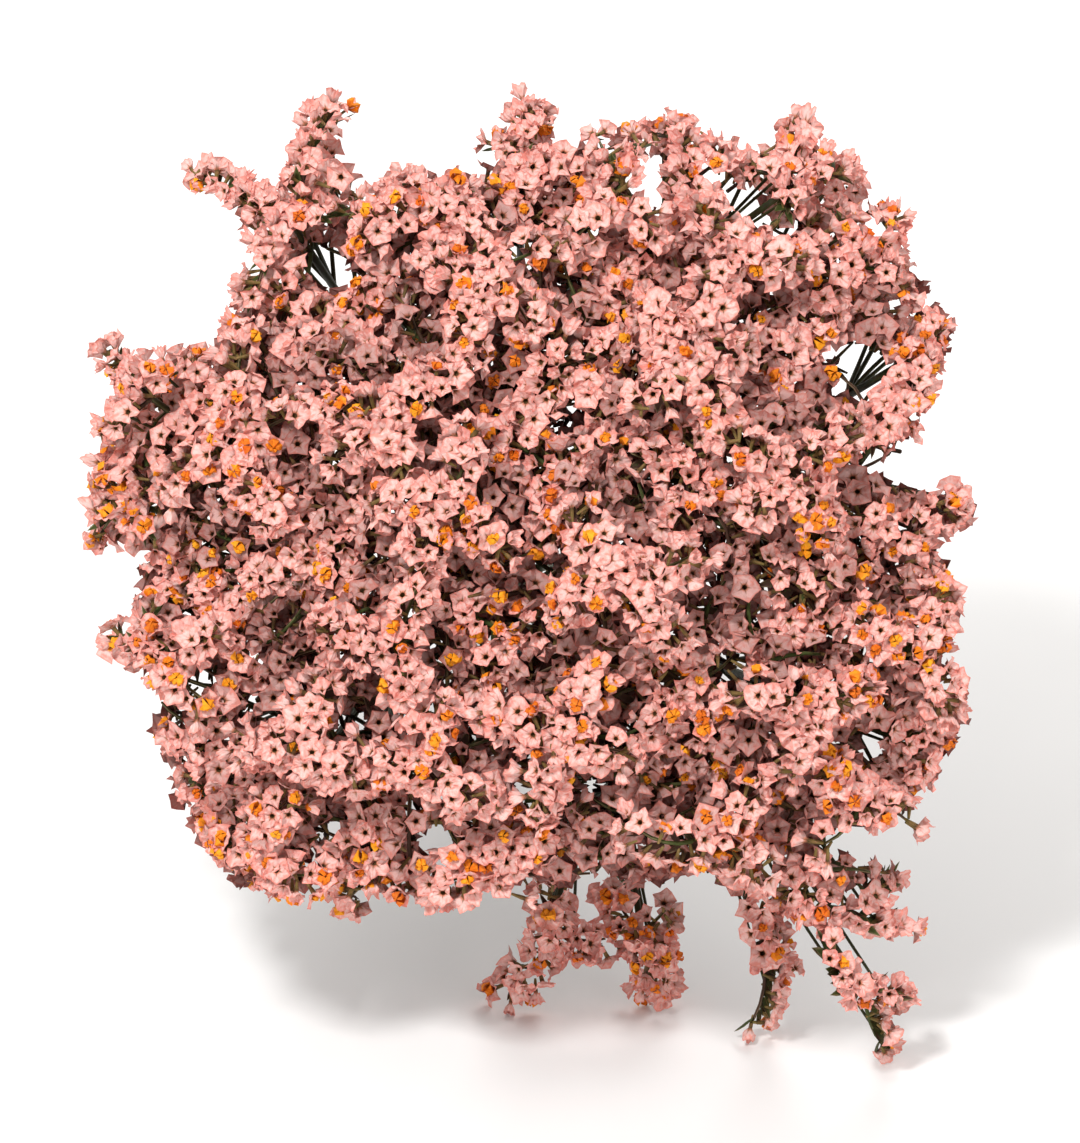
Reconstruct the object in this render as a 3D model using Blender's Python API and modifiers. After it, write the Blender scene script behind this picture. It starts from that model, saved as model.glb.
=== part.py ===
"""Dried statice, a tied bunch laid down on a surface.

Ten main stems pass through one binding. Each forks towards the flower side into slender branches,
and each branch carries a head: curved arms that meet at a hub, covered by papery cup-shaped florets.
The heads close up into one broad dome, with a few loose sprigs round its edge.
The bunch leans on its lower sprigs and on the cut ends of its stems.

Units are metres and +Z is up. The stems run from the cut ends at +Y to the flowers at -Y.
"""
import math
import random

import bmesh
import bpy
import numpy as np
from mathutils import Matrix, Vector

MM = 0.001
SEED = 7

# How the bunch lies: its axis rises towards the flowers
LEAN = math.radians(25)
TAIL_LENGTH = 140 * MM
TAIL_FLARE = 3.4

# The dome of heads, seen from the flower side: right and up in the face, out along the axis
DOME_RIGHT = 23 * MM
DOME_UP = -10 * MM
DOME_RADIUS = 216 * MM
DOME_RIM_OUT = 236 * MM
DOME_RISE = 118 * MM
DOME_SHOULDER = 2.4
DOME_FOCUS_OUT = 150 * MM

# Stems and branches
STEM_RADIUS = 2.1 * MM
BRANCH_RADIUS = 1.4 * MM
STEM_TAPER = 0.85
FORK_FLARE = 1.15
INNER_RING_RADIUS = 2.4 * MM
OUTER_RING_RADIUS = 7.1 * MM
INNER_RING_TURN = math.radians(70)
OUTER_RING_TURN = math.radians(112.5)
LOWEST_FORK = 0.42
HIGHEST_FORK = 0.74
STEM_BOW = 6 * MM

# Heads: the arms are the ridges that the florets follow, and the neck meets the branch
INNER_SPREAD = 0.78
INNER_REACH = 1.22
EDGE_REACH = 0.86
EDGE_INSET = 3.5 * MM
ARM_ARCH = 3 * MM
ARM_TIP_DROP = 2 * MM
NECK_RADIUS = 1.7 * MM
NECK_TOP_RADIUS = 2.8 * MM
NECK_LENGTH = 12 * MM
NECK_OVERLAP = 1.5 * MM
SEAT_GAP = 0.3 * MM

# Florets: cups whose rims touch, a little larger than the real 11 mm
FLORET_PITCH = 12.5 * MM
FLORET_DEPTH = 5.5 * MM
FLORET_SIDES = 6
CELL_ROWS = 6
RIM_LIFT = 6.5 * MM
RIM_JITTER = 1.1 * MM
RIDGE_REACH = 9.5 * MM
RIDGE_FALL = 24 * MM
PAPER = 1.1 * MM
SMALLEST_STEP = 0.01 * MM
SHARED_CORNER = 0.1 * MM
SHORTEST_RIM_EDGE = 3 * MM
SMALLEST_CUP_SHARE = 0.45

# Free space kept between pieces, and how far a rim may be drawn in to keep it
HEAD_CLEARANCE = 3 * MM
STEM_CLEARANCE = 1.6 * MM
DRAW_IN = (1.0, 0.92, 0.84, 0.76, 0.68, 0.6, 0.5, 0.4)

# The block that flattens what meets the surface
SURFACE_SIZE = 1.0

# The binding round the stems
BINDING_WIDTH = 9 * MM
BINDING_WALL = 1.2 * MM
BINDING_SOFTNESS = 0.4 * MM
BINDING_SIDES = 24

# Each spray lists its heads as a hub (right, up, back) and the tips of its arms (right, up),
# in millimetres from the middle of the face. "Back" is how far a head lies behind the dome.
SPRAYS = {
    "upper_left": (
        ((-94, 143, 8), ((-138, 167), (-77, 198), (-62, 148), (-112, 109))),
        ((-70, 98, 28), ((-52, 112), (-49, 84), (-87, 88), (-90, 104))),
        ((-36, 147, 6), ((-50, 157), (-57, 134), (-19, 130), (-21, 153))),
        ((-49, 64, 4), ((-69, 66), (-28, 79), (-47, 45), (-67, 50))),
    ),
    "top": (
        ((-2, 164, 24), ((-12, 176), (2, 193), (20, 156), (7, 141))),
        ((-15, 112, 0), ((-31, 122), (7, 125), (-21, 92), (-1, 102))),
        ((40, 158, 0), ((29, 181), (48, 177), (25, 138), (47, 140))),
        ((38, 118, 28), ((26, 125), (58, 134), (35, 98), (53, 110))),
        ((15, 80, 20), ((10, 100), (36, 88), (5, 66), (29, 68))),
    ),
    "upper_right": (
        ((67, 160, 16), ((59, 182), (82, 173), (71, 144))),
        ((108, 157, 4), ((90, 164), (113, 185), (134, 164), (101, 140))),
        ((138, 126, 20), ((125, 150), (152, 148), (156, 113), (124, 115))),
        ((86, 125, 0), ((74, 139), (103, 123), (73, 103))),
        ((109, 92, 28), ((93, 88), (124, 102), (102, 72))),
    ),
    "right": (
        ((156, 87, 10), ((167, 102), (152, 68), (139, 57))),
        ((105, 42, 0), ((87, 50), (124, 54), (115, 22), (95, 30))),
        ((149, 14, 26), ((169, 24), (158, -6), (134, 22))),
        ((151, -29, 4), ((161, -14), (163, -46), (138, -21))),
        ((111, -7, 26), ((95, 4), (127, 2), (125, -26), (99, -24))),
    ),
    "lower_right": (
        ((109, -48, 0), ((127, -46), (90, -46), (105, -68))),
        ((149, -65, 28), ((163, -57), (153, -77), (138, -56))),
        ((133, -90, 6), ((149, -96), (122, -103), (118, -76))),
        ((122, -132, 22), ((162, -148), (150, -125), (101, -121))),
        ((138, -168, -1), ((155, -174), (148, -195), (121, -150))),
        ((98, -151, 52), ((94, -189), (112, -166), (92, -131))),
    ),
    "bottom": (
        ((67, -104, 0), ((87, -112), (85, -88), (49, -100))),
        ((-15, -112, 26), ((-32, -120), (-7, -123), (9, -105), (-27, -101))),
        ((48, -145, 104), ((53, -164), (60, -133), (40, -134))),
        ((13, -143, 104), ((-2, -164), (30, -147), (12, -130))),
    ),
    "lower_left": (
        ((-87, -64, 0), ((-104, -67), (-69, -75), (-77, -46))),
        ((-37, -76, 4), ((-57, -72), (-19, -84), (-33, -58))),
        ((-59, -109, 30), ((-66, -124), (-47, -118), (-77, -102), (-55, -93))),
        ((-104, -109, 6), ((-126, -102), (-102, -126), (-86, -117), (-95, -93))),
        ((-123, -74, 28), ((-143, -62), (-127, -90), (-105, -82), (-118, -56))),
    ),
    "left": (
        ((-111, -10, 26), ((-129, 1), (-95, -2), (-107, -32))),
        ((-141, -29, 4), ((-167, -25), (-128, -46), (-146, -12), (-126, -25))),
        ((-157, 29, 24), ((-175, 16), (-172, 45), (-148, 8))),
        ((-151, 72, 0), ((-169, 93), (-166, 57), (-134, 85))),
        ((-113, 52, 6), ((-113, 88), (-93, 62), (-133, 38), (-101, 28))),
    ),
    "inner_upper": (
        ((11, 42, 26), ((-9, 50), (29, 48), (9, 20))),
        ((60, 85, 4), ((53, 100), (80, 88), (51, 70), (73, 70))),
        ((65, 38, 24), ((47, 46), (83, 30), (59, 20), (69, 56))),
        ((-29, 28, 4), ((-47, 28), (-23, 48), (-13, 14), (-37, 8))),
    ),
    "inner_lower": (
        ((-11, -20, 28), ((-31, -10), (7, -22), (-17, -42))),
        ((39, 2, 2), ((25, 18), (60, 6), (53, -18), (21, -10))),
        ((-49, -26, 2), ((-69, -22), (-41, -6), (-43, -46))),
        ((17, -64, 8), ((-4, -56), (35, -68), (9, -86), (25, -46))),
        ((63, -42, 26), ((49, -32), (79, -34), (51, -66), (73, -66))),
        ((-71, 18, 28), ((-87, 30), (-59, 38), (-67, -2), (-85, 8))),
    ),
}

COLOURS = {
    "flowers": ((0.80, 0.45, 0.38, 1.0), 0.85),
    "stems": ((0.09, 0.10, 0.045, 1.0), 0.8),
    "binding": ((0.42, 0.30, 0.16, 1.0), 0.9),
}


def face_point(right, up, out):
    """A point given in the bunch's own directions, measured from the middle of the binding."""
    return Vector((
        right,
        up * math.sin(LEAN) - out * math.cos(LEAN),
        up * math.cos(LEAN) + out * math.sin(LEAN),
    ))


def dome_spread(right, up):
    """How far a place in the face lies from the dome's middle, as a share of its radius."""
    return math.hypot(right - DOME_RIGHT, up - DOME_UP) / DOME_RADIUS


def dome_out(right, up):
    """How far out the dome of heads lies at a place in the face."""
    return DOME_RIM_OUT + DOME_RISE * (1.0 - dome_spread(right, up) ** DOME_SHOULDER)


def on_dome(place, back, drop=0.0):
    """The point of the dome at a place in millimetres, set back behind it.

    At the edge of the dome the florets stand outwards, so the place is drawn in to make room for them.
    """
    right, up = place[0] * MM, place[1] * MM
    spread = dome_spread(right, up)
    if spread > INNER_SPREAD:
        inset = EDGE_INSET / (spread * DOME_RADIUS)
        right += (DOME_RIGHT - right) * inset
        up += (DOME_UP - up) * inset
    return face_point(right, up, dome_out(right, up) - back * MM - drop)


def outward(point):
    """The direction that a head faces: away from the dome's focus."""
    return (point - face_point(DOME_RIGHT, DOME_UP, DOME_FOCUS_OUT)).normalized()


def head_layout(hub_place, tip_places):
    """The hub, the facing direction and the three-point arms of one head."""
    back = hub_place[2]
    hub = on_dome(hub_place, back)
    facing = outward(hub)
    arms = []
    for place in tip_places:
        inside = dome_spread(place[0] * MM, place[1] * MM) < INNER_SPREAD
        reach = INNER_REACH if inside else EDGE_REACH
        place = [start + (end - start) * reach for start, end in zip(hub_place, place)]
        tip = on_dome(place, back, ARM_TIP_DROP)
        arms.append((hub, (hub + tip) / 2 + facing * ARM_ARCH, tip))
    return hub, facing, arms


def ring_place(index, count, radius, turn):
    """A stem's place in a ring at the binding, as right and up."""
    angle = turn + math.tau * index / count
    return radius * math.cos(angle), radius * math.sin(angle)


def binding_places():
    """Where each spray's stem passes the binding, in the same order round it as in the dome."""
    inner = [name for name in SPRAYS if name.startswith("inner")]
    outer = [name for name in SPRAYS if name not in inner]
    places = {}
    for index, name in enumerate(inner):
        places[name] = ring_place(index, len(inner), INNER_RING_RADIUS, INNER_RING_TURN)
    for index, name in enumerate(outer):
        places[name] = ring_place(-index, len(outer), OUTER_RING_RADIUS, OUTER_RING_TURN)
    return places


def stem_layout(place, heads):
    """The main stem's points and each branch's two ends, one branch for each head after the first."""
    right, up = place
    cut_end = face_point(right * TAIL_FLARE, up * TAIL_FLARE, -TAIL_LENGTH)
    below = face_point(right, up, -BINDING_WIDTH)
    above = face_point(right, up, BINDING_WIDTH)
    leader_hub = heads[0][0]
    towards = (leader_hub - above).normalized()
    leader_end = leader_hub - towards * (NECK_LENGTH + SEAT_GAP)
    middle = (above + leader_end) / 2
    axis = face_point(0, 0, 1)
    middle += (middle - axis * middle.dot(axis)).normalized() * STEM_BOW
    trunk = [cut_end, below, above, middle, leader_end]
    others = sorted(range(1, len(heads)), key=lambda index: -(heads[index][0] - leader_hub).length)
    branches = {}
    for rank, index in enumerate(others):
        share = LOWEST_FORK + (HIGHEST_FORK - LOWEST_FORK) * rank / max(1, len(others) - 1)
        fork = along(trunk[2:], share)
        reach = (heads[index][0] - fork).normalized()
        branches[index] = (fork, heads[index][0] - reach * (NECK_LENGTH + SEAT_GAP))
    return trunk, branches


def along(points, share):
    """The point at a share of a polyline's length."""
    lengths = [(b - a).length for a, b in zip(points, points[1:])]
    left = share * sum(lengths)
    for start, end, length in zip(points, points[1:], lengths):
        if left <= length:
            return start.lerp(end, left / length)
        left -= length
    return points[-1].copy()


def segment_distance(point, starts, ends):
    """The distance from a point to each of the segments."""
    nearest, _ = nearest_on_segments(point, starts, ends)
    return np.linalg.norm(point - nearest, axis=1)


def nearest_on_segments(point, starts, ends):
    """The nearest place on each segment, and its share of the segment's run."""
    runs = ends - starts
    shares = ((point - starts) * runs).sum(1) / np.maximum((runs * runs).sum(1), 1e-12)
    shares = np.clip(shares, 0, 1)[:, None]
    return starts + shares * runs, shares


class Surroundings:
    """The skeleton of every head and stem, against which a floret is given its room."""

    def __init__(self):
        self.head_rows = []
        self.stem_rows = []

    def add_head(self, owner, points):
        """Adds a line of one head's skeleton."""
        self.head_rows += [(owner, a, b) for a, b in zip(points, points[1:])]

    def add_stem(self, points, radius):
        """Adds a stem's or a branch's line."""
        self.stem_rows += [(radius, a, b) for a, b in zip(points, points[1:])]

    def freeze(self):
        """Sets every line out in arrays, once all are known."""
        self.owners = np.array([row[0] for row in self.head_rows])
        self.head_starts = np.array([row[1] for row in self.head_rows])
        self.head_ends = np.array([row[2] for row in self.head_rows])
        self.stem_radii = np.array([row[0] for row in self.stem_rows])
        self.stem_starts = np.array([row[1] for row in self.stem_rows])
        self.stem_ends = np.array([row[2] for row in self.stem_rows])

    def clear(self, owner, point):
        """Whether a point lies nearer to its own head than to any other, and off every stem."""
        to_heads = segment_distance(point, self.head_starts, self.head_ends)
        own = to_heads[self.owners == owner].min()
        other = to_heads[self.owners != owner].min()
        to_stems = segment_distance(point, self.stem_starts, self.stem_ends) - self.stem_radii
        return bool(other - own > HEAD_CLEARANCE and to_stems.min() > STEM_CLEARANCE)


def frame_along(direction, facing):
    """A turn whose Z is the given direction and whose X lies towards the facing side."""
    z_axis = direction.normalized()
    x_axis = (facing - z_axis * facing.dot(z_axis)).normalized()
    y_axis = z_axis.cross(x_axis)
    return Matrix((x_axis, y_axis, z_axis)).transposed().to_4x4()


def tube_object(name, points, radii, sides_level, collection):
    """A closed tube along a polyline, made from a curve with filled caps."""
    curve = bpy.data.curves.new(name, "CURVE")
    curve.dimensions = "3D"
    curve.bevel_depth = 1.0
    curve.bevel_resolution = sides_level
    curve.use_fill_caps = True
    spline = curve.splines.new("POLY")
    spline.points.add(len(points) - 1)
    for item, point, radius in zip(spline.points, points, radii):
        item.co = (*point, 1.0)
        item.radius = radius
    guide = bpy.data.objects.new(name + "_guide", curve)
    collection.objects.link(guide)
    depsgraph = bpy.context.evaluated_depsgraph_get()
    mesh = bpy.data.meshes.new_from_object(guide.evaluated_get(depsgraph))
    shape = bmesh.new()
    shape.from_mesh(mesh)
    bmesh.ops.remove_doubles(shape, verts=shape.verts, dist=SMALLEST_STEP)
    bmesh.ops.recalc_face_normals(shape, faces=shape.faces)
    shape.to_mesh(mesh)
    shape.free()
    piece = bpy.data.objects.new(name, mesh)
    piece.matrix_world = guide.matrix_world
    collection.objects.link(piece)
    bpy.data.objects.remove(guide)
    bpy.data.curves.remove(curve)
    return piece


def body_count(mesh):
    """How many separate bodies a mesh holds."""
    shape = bmesh.new()
    shape.from_mesh(mesh)
    unseen = set(shape.verts)
    bodies = 0
    while unseen:
        bodies += 1
        reached = [unseen.pop()]
        while reached:
            for edge in reached.pop().link_edges:
                for vertex in edge.verts:
                    if vertex in unseen:
                        unseen.remove(vertex)
                        reached.append(vertex)
    shape.free()
    return bodies


def joined(base, helpers):
    """Unites the base with every helper as one body, and removes the helpers."""
    modifier = base.modifiers.new("joined", "BOOLEAN")
    modifier.operation = "UNION"
    modifier.operand_type = "COLLECTION"
    modifier.collection = helpers
    for solver in ("EXACT", "MANIFOLD"):
        modifier.solver = solver
        depsgraph = bpy.context.evaluated_depsgraph_get()
        mesh = bpy.data.meshes.new_from_object(base.evaluated_get(depsgraph))
        if body_count(mesh) == 1:
            break
    base.modifiers.clear()
    old_mesh = base.data
    base.data = mesh
    bpy.data.meshes.remove(old_mesh)
    for helper in list(helpers.objects):
        bpy.data.objects.remove(helper)


def floret_cells(starts, ends, turn):
    """Flat six-sided cells that touch, wherever one lies near enough to an arm."""
    shape = bmesh.new()
    for row in range(-CELL_ROWS, CELL_ROWS + 1):
        for column in range(-CELL_ROWS, CELL_ROWS + 1):
            place = Vector((column + row / 2, row * math.sqrt(3) / 2, 0)) * FLORET_PITCH
            place.rotate(Matrix.Rotation(turn, 3, "Z"))
            flat = np.array((place.x, place.y, 0.0))
            if segment_distance(flat, starts, ends).min() > RIDGE_REACH:
                continue
            bmesh.ops.create_circle(
                shape, cap_ends=True, segments=FLORET_SIDES, radius=FLORET_PITCH / math.sqrt(3),
                matrix=Matrix.Translation(place) @ Matrix.Rotation(turn, 4, "Z"))
    bmesh.ops.remove_doubles(shape, verts=shape.verts, dist=SHARED_CORNER)
    return shape


def raise_ridges(shape, starts, ends, rng):
    """Lifts each rim corner on to the ridges that follow the arms."""
    flat_starts = starts * (1, 1, 0)
    flat_ends = ends * (1, 1, 0)
    for vertex in shape.verts:
        flat = np.array((vertex.co.x, vertex.co.y, 0.0))
        nearest, shares = nearest_on_segments(flat, flat_starts, flat_ends)
        aside = np.linalg.norm(flat - nearest, axis=1)
        closest = int(aside.argmin())
        share = shares[closest, 0]
        arm_height = starts[closest, 2] * (1 - share) + ends[closest, 2] * share
        vertex.co.z = arm_height + RIM_LIFT - aside[closest] ** 2 / RIDGE_FALL
        vertex.co += Vector([rng.uniform(-RIM_JITTER, RIM_JITTER) for _ in range(3)])


def draw_in(shape, frame, owner, surroundings):
    """Pulls rim corners towards their own arms until they are clear of the neighbours."""
    lost = []
    mine = surroundings.owners == owner
    starts, ends = surroundings.head_starts[mine], surroundings.head_ends[mine]
    back = frame.inverted()
    for vertex in shape.verts:
        point = np.array(frame @ vertex.co)
        nearest, _ = nearest_on_segments(point, starts, ends)
        anchor = nearest[np.linalg.norm(point - nearest, axis=1).argmin()]
        for share in DRAW_IN:
            moved = anchor + (point - anchor) * share
            if surroundings.clear(owner, moved):
                vertex.co = back @ Vector(moved)
                break
        else:
            lost.append(vertex)
    bmesh.ops.delete(shape, geom=lost, context="VERTS")


def drop_scraps(shape):
    """Leaves out cups that came out too small, and any that no longer join the middle."""
    full = 1.5 / math.sqrt(3) * FLORET_PITCH ** 2
    scraps = [face for face in shape.faces
              if face.calc_area() < full * SMALLEST_CUP_SHARE
              or min(edge.calc_length() for edge in face.edges) < SHORTEST_RIM_EDGE]
    bmesh.ops.delete(shape, geom=scraps, context="FACES")
    middle = min(shape.faces, key=lambda face: face.calc_center_median().to_2d().length)
    joined_faces = {middle}
    waiting = [middle]
    while waiting:
        for edge in waiting.pop().edges:
            for face in edge.link_faces:
                if face not in joined_faces:
                    joined_faces.add(face)
                    waiting.append(face)
    loose = [face for face in shape.faces if face not in joined_faces]
    bmesh.ops.delete(shape, geom=loose, context="FACES")


def make_head(name, owner, layout, neck_start, surroundings, rng, parts, helpers, material):
    """One head: a papery sheet of floret cups along its arms, united with its neck."""
    hub, facing, arms = layout
    frame = Matrix.Translation(hub) @ frame_along(facing, arms[0][2] - hub)
    back = frame.inverted()
    pairs = [(back @ start, back @ end) for arm in arms for start, end in zip(arm, arm[1:])]
    starts = np.array([pair[0] for pair in pairs])
    ends = np.array([pair[1] for pair in pairs])
    shape = floret_cells(starts * (1, 1, 0), ends * (1, 1, 0), rng.uniform(0, math.tau / FLORET_SIDES))
    raise_ridges(shape, starts, ends, rng)
    draw_in(shape, frame, owner, surroundings)
    drop_scraps(shape)
    throats = bmesh.ops.poke(shape, faces=shape.faces, offset=-FLORET_DEPTH)["verts"]
    middle = min(throats, key=lambda vertex: vertex.co.to_2d().length)
    top = frame @ middle.co + facing * NECK_OVERLAP
    mesh = bpy.data.meshes.new(name)
    shape.to_mesh(mesh)
    shape.free()
    head = bpy.data.objects.new(name, mesh)
    head.matrix_world = frame
    parts.objects.link(head)
    sheet = head.modifiers.new("paper", "SOLIDIFY")
    sheet.thickness = PAPER
    sheet.offset = -1
    tube_object(name + "_neck", (neck_start, hub, top),
                (NECK_RADIUS, NECK_RADIUS, NECK_TOP_RADIUS), 0, helpers)
    joined(head, helpers)
    head.data.materials.clear()
    head.data.materials.append(material)
    return head


def make_stem(name, trunk, branches, parts, helpers, material):
    """One main stem, with the branches that leave it, as one solid."""
    radii = [STEM_RADIUS, STEM_RADIUS, STEM_RADIUS, STEM_RADIUS * STEM_TAPER, BRANCH_RADIUS]
    stem = tube_object(name, trunk, radii, 1, parts)
    for index, ends in branches.items():
        tube_object(f"{name}_branch_{index}", ends, (BRANCH_RADIUS * FORK_FLARE, BRANCH_RADIUS), 0, helpers)
    joined(stem, helpers)
    stem.data.materials.clear()
    stem.data.materials.append(material)
    return stem


def make_binding(parts, material):
    """The elastic band round the stems: a turned ring."""
    inner = OUTER_RING_RADIUS + STEM_RADIUS + SEAT_GAP
    outer = inner + BINDING_WALL
    half = BINDING_WIDTH / 2
    soft = BINDING_SOFTNESS
    outline = (
        (outer - soft, half), (outer, half - soft), (outer, -half + soft), (outer - soft, -half),
        (inner, -half), (inner, half),
    )
    profile = bmesh.new()
    corners = [profile.verts.new((reach, 0, height)) for reach, height in outline]
    for start, end in zip(corners, corners[1:] + corners[:1]):
        profile.edges.new((start, end))
    mesh = bpy.data.meshes.new("binding")
    profile.to_mesh(mesh)
    profile.free()
    band = bpy.data.objects.new("binding", mesh)
    parts.objects.link(band)
    turn = band.modifiers.new("turned", "SCREW")
    turn.steps = BINDING_SIDES
    turn.render_steps = BINDING_SIDES
    turn.use_merge_vertices = True
    turn.merge_threshold = SMALLEST_STEP
    turn.use_normal_calculate = True
    mesh.materials.append(material)
    band.matrix_world = frame_along(face_point(0, 0, 1), face_point(0, 1, 0))
    return band


def make_material(name):
    """A plain surface in the piece's own colour."""
    colour, roughness = COLOURS[name]
    material = bpy.data.materials.new(name)
    material.use_nodes = True
    shader = material.node_tree.nodes["Principled BSDF"]
    shader.inputs["Base Color"].default_value = colour
    shader.inputs["Roughness"].default_value = roughness
    shader.inputs["Metallic"].default_value = 0.0
    return material


def new_collection(name, hidden):
    """A collection in the scene, hidden from renders if it only holds helpers."""
    collection = bpy.data.collections.new(name)
    collection.hide_render = hidden
    bpy.context.scene.collection.children.link(collection)
    return collection


def rest_on_surface(pieces, helpers):
    """Lowers the bunch on its cut ends, flattens what meets the surface, and centres it."""
    bpy.context.view_layer.update()
    stems = [piece for piece in pieces if piece.name.startswith("stem")]
    floor = min((stem.matrix_world @ corner.co).z for stem in stems for corner in stem.data.vertices)
    low = Vector((math.inf,) * 3)
    high = -low
    for piece in pieces:
        for corner in piece.data.vertices:
            point = piece.matrix_world @ corner.co
            low = Vector(map(min, low, point))
            high = Vector(map(max, high, point))
    shift = Vector((-(low.x + high.x) / 2, -(low.y + high.y) / 2, -floor))
    for piece in pieces:
        piece.matrix_world = Matrix.Translation(shift) @ piece.matrix_world
    bpy.context.view_layer.update()
    pressed = [piece for piece in pieces
               if min((piece.matrix_world @ corner.co).z for corner in piece.data.vertices) < 0]
    for piece in pressed:
        flatten_foot(piece, helpers)


def flatten_foot(piece, helpers):
    """Cuts away what of a piece would lie below the surface."""
    slab = bmesh.new()
    bmesh.ops.create_cube(slab, size=SURFACE_SIZE)
    bmesh.ops.translate(slab, verts=slab.verts, vec=(0, 0, -SURFACE_SIZE / 2))
    mesh = bpy.data.meshes.new("surface")
    slab.to_mesh(mesh)
    slab.free()
    cutter = bpy.data.objects.new("surface", mesh)
    cutter.hide_render = True
    cutter.display_type = "WIRE"
    helpers.objects.link(cutter)
    modifier = piece.modifiers.new("flattened", "BOOLEAN")
    modifier.operation = "DIFFERENCE"
    modifier.object = cutter
    modifier.solver = "EXACT"


def build():
    """Lays out every spray first, so that each head knows its neighbours, then makes the pieces."""
    for item in list(bpy.data.objects):
        bpy.data.objects.remove(item)
    rng = random.Random(SEED)
    parts = new_collection("dried_statice", hidden=False)
    helpers = new_collection("helpers", hidden=True)
    materials = {name: make_material(name) for name in COLOURS}
    places = binding_places()
    surroundings = Surroundings()
    sprays = {}
    owner = 0
    for name, rows in SPRAYS.items():
        heads = [head_layout(hub, tips) for hub, tips in rows]
        trunk, branches = stem_layout(places[name], heads)
        ends = {0: trunk[-1], **{index: branch[1] for index, branch in branches.items()}}
        sprays[name] = (heads, trunk, branches, ends)
        surroundings.add_stem(trunk, STEM_RADIUS)
        for branch in branches.values():
            surroundings.add_stem(branch, BRANCH_RADIUS)
        for index, (hub, facing, arms) in enumerate(heads):
            for arm in arms:
                surroundings.add_head(owner, arm)
            surroundings.add_head(owner, (ends[index], hub))
            owner += 1
    surroundings.freeze()
    pieces = []
    owner = 0
    for name, (heads, trunk, branches, ends) in sprays.items():
        pieces.append(make_stem(f"stem_{name}", trunk, branches, parts, helpers, materials["stems"]))
        for index, (hub, facing, arms) in enumerate(heads):
            neck_start = ends[index] + (hub - ends[index]).normalized() * SEAT_GAP
            pieces.append(make_head(f"head_{name}_{index + 1}", owner, (hub, facing, arms), neck_start,
                                    surroundings, rng, parts, helpers, materials["flowers"]))
            owner += 1
    pieces.append(make_binding(parts, materials["binding"]))
    rest_on_surface(pieces, helpers)


build()
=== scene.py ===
"""Looks of a bunch of dried statice, laid down on its cut ends and its lower sprigs.

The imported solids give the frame: ten stems, forty-nine heads and one band. Here each head becomes
combs of papery calyxes with their bracts and small dried corollas, each stem becomes a ribbed,
winged stem, and the band becomes turns of rubber. Combs set deeper fill the bunch between them.
"""

import logging
import math
import random
from dataclasses import dataclass, field
from enum import Enum
from itertools import product
from typing import Iterable, Iterator, Sequence

import bpy
import numpy as np
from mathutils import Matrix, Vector

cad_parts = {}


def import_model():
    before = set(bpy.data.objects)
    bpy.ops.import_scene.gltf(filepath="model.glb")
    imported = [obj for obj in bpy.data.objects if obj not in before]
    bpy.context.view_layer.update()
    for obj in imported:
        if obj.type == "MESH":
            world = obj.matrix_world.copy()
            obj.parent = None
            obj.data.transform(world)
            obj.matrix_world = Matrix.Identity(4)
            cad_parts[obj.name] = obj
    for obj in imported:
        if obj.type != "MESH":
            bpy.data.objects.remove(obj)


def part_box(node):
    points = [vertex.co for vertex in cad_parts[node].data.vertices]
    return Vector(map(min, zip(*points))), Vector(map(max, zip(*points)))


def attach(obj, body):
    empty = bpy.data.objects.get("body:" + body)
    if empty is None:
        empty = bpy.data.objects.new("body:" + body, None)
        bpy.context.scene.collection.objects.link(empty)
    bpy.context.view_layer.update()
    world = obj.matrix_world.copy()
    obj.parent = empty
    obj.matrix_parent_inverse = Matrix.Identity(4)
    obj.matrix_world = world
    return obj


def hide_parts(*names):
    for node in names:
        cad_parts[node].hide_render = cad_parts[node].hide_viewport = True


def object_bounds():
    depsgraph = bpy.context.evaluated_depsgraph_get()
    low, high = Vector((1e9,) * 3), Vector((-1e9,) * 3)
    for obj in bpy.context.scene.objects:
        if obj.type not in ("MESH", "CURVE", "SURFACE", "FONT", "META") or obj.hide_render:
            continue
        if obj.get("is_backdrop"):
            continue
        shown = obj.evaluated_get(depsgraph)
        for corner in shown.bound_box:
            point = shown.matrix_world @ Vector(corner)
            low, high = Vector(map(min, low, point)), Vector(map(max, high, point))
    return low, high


LOG = logging.getLogger("dried_statice")
MM = 0.001
LOWEST = 0.1 * MM
SEED = 11
BAKE_MAP = "OFBake"

# The bunch's own layout, the same as the solids have
LEAN = math.radians(25)
TAIL_LENGTH = 140 * MM
TAIL_FLARE = 3.4
DOME_RIGHT = 23 * MM
DOME_UP = -10 * MM
DOME_RADIUS = 216 * MM
DOME_RIM_OUT = 236 * MM
DOME_RISE = 118 * MM
DOME_SHOULDER = 2.4
DOME_FOCUS_OUT = 150 * MM
STEM_RADIUS = 2.1 * MM
BRANCH_RADIUS = 1.4 * MM
INNER_RING_RADIUS = 2.4 * MM
OUTER_RING_RADIUS = 7.1 * MM
INNER_RING_TURN = math.radians(70)
OUTER_RING_TURN = math.radians(112.5)
LOWEST_FORK = 0.42
HIGHEST_FORK = 0.74
STEM_BOW = 6 * MM
INNER_SPREAD = 0.78
INNER_REACH = 1.22
EDGE_REACH = 0.86
EDGE_INSET = 3.5 * MM
ARM_ARCH = 3 * MM
ARM_TIP_DROP = 2 * MM
NECK_LENGTH = 12 * MM
BINDING_WIDTH = 9 * MM

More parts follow.
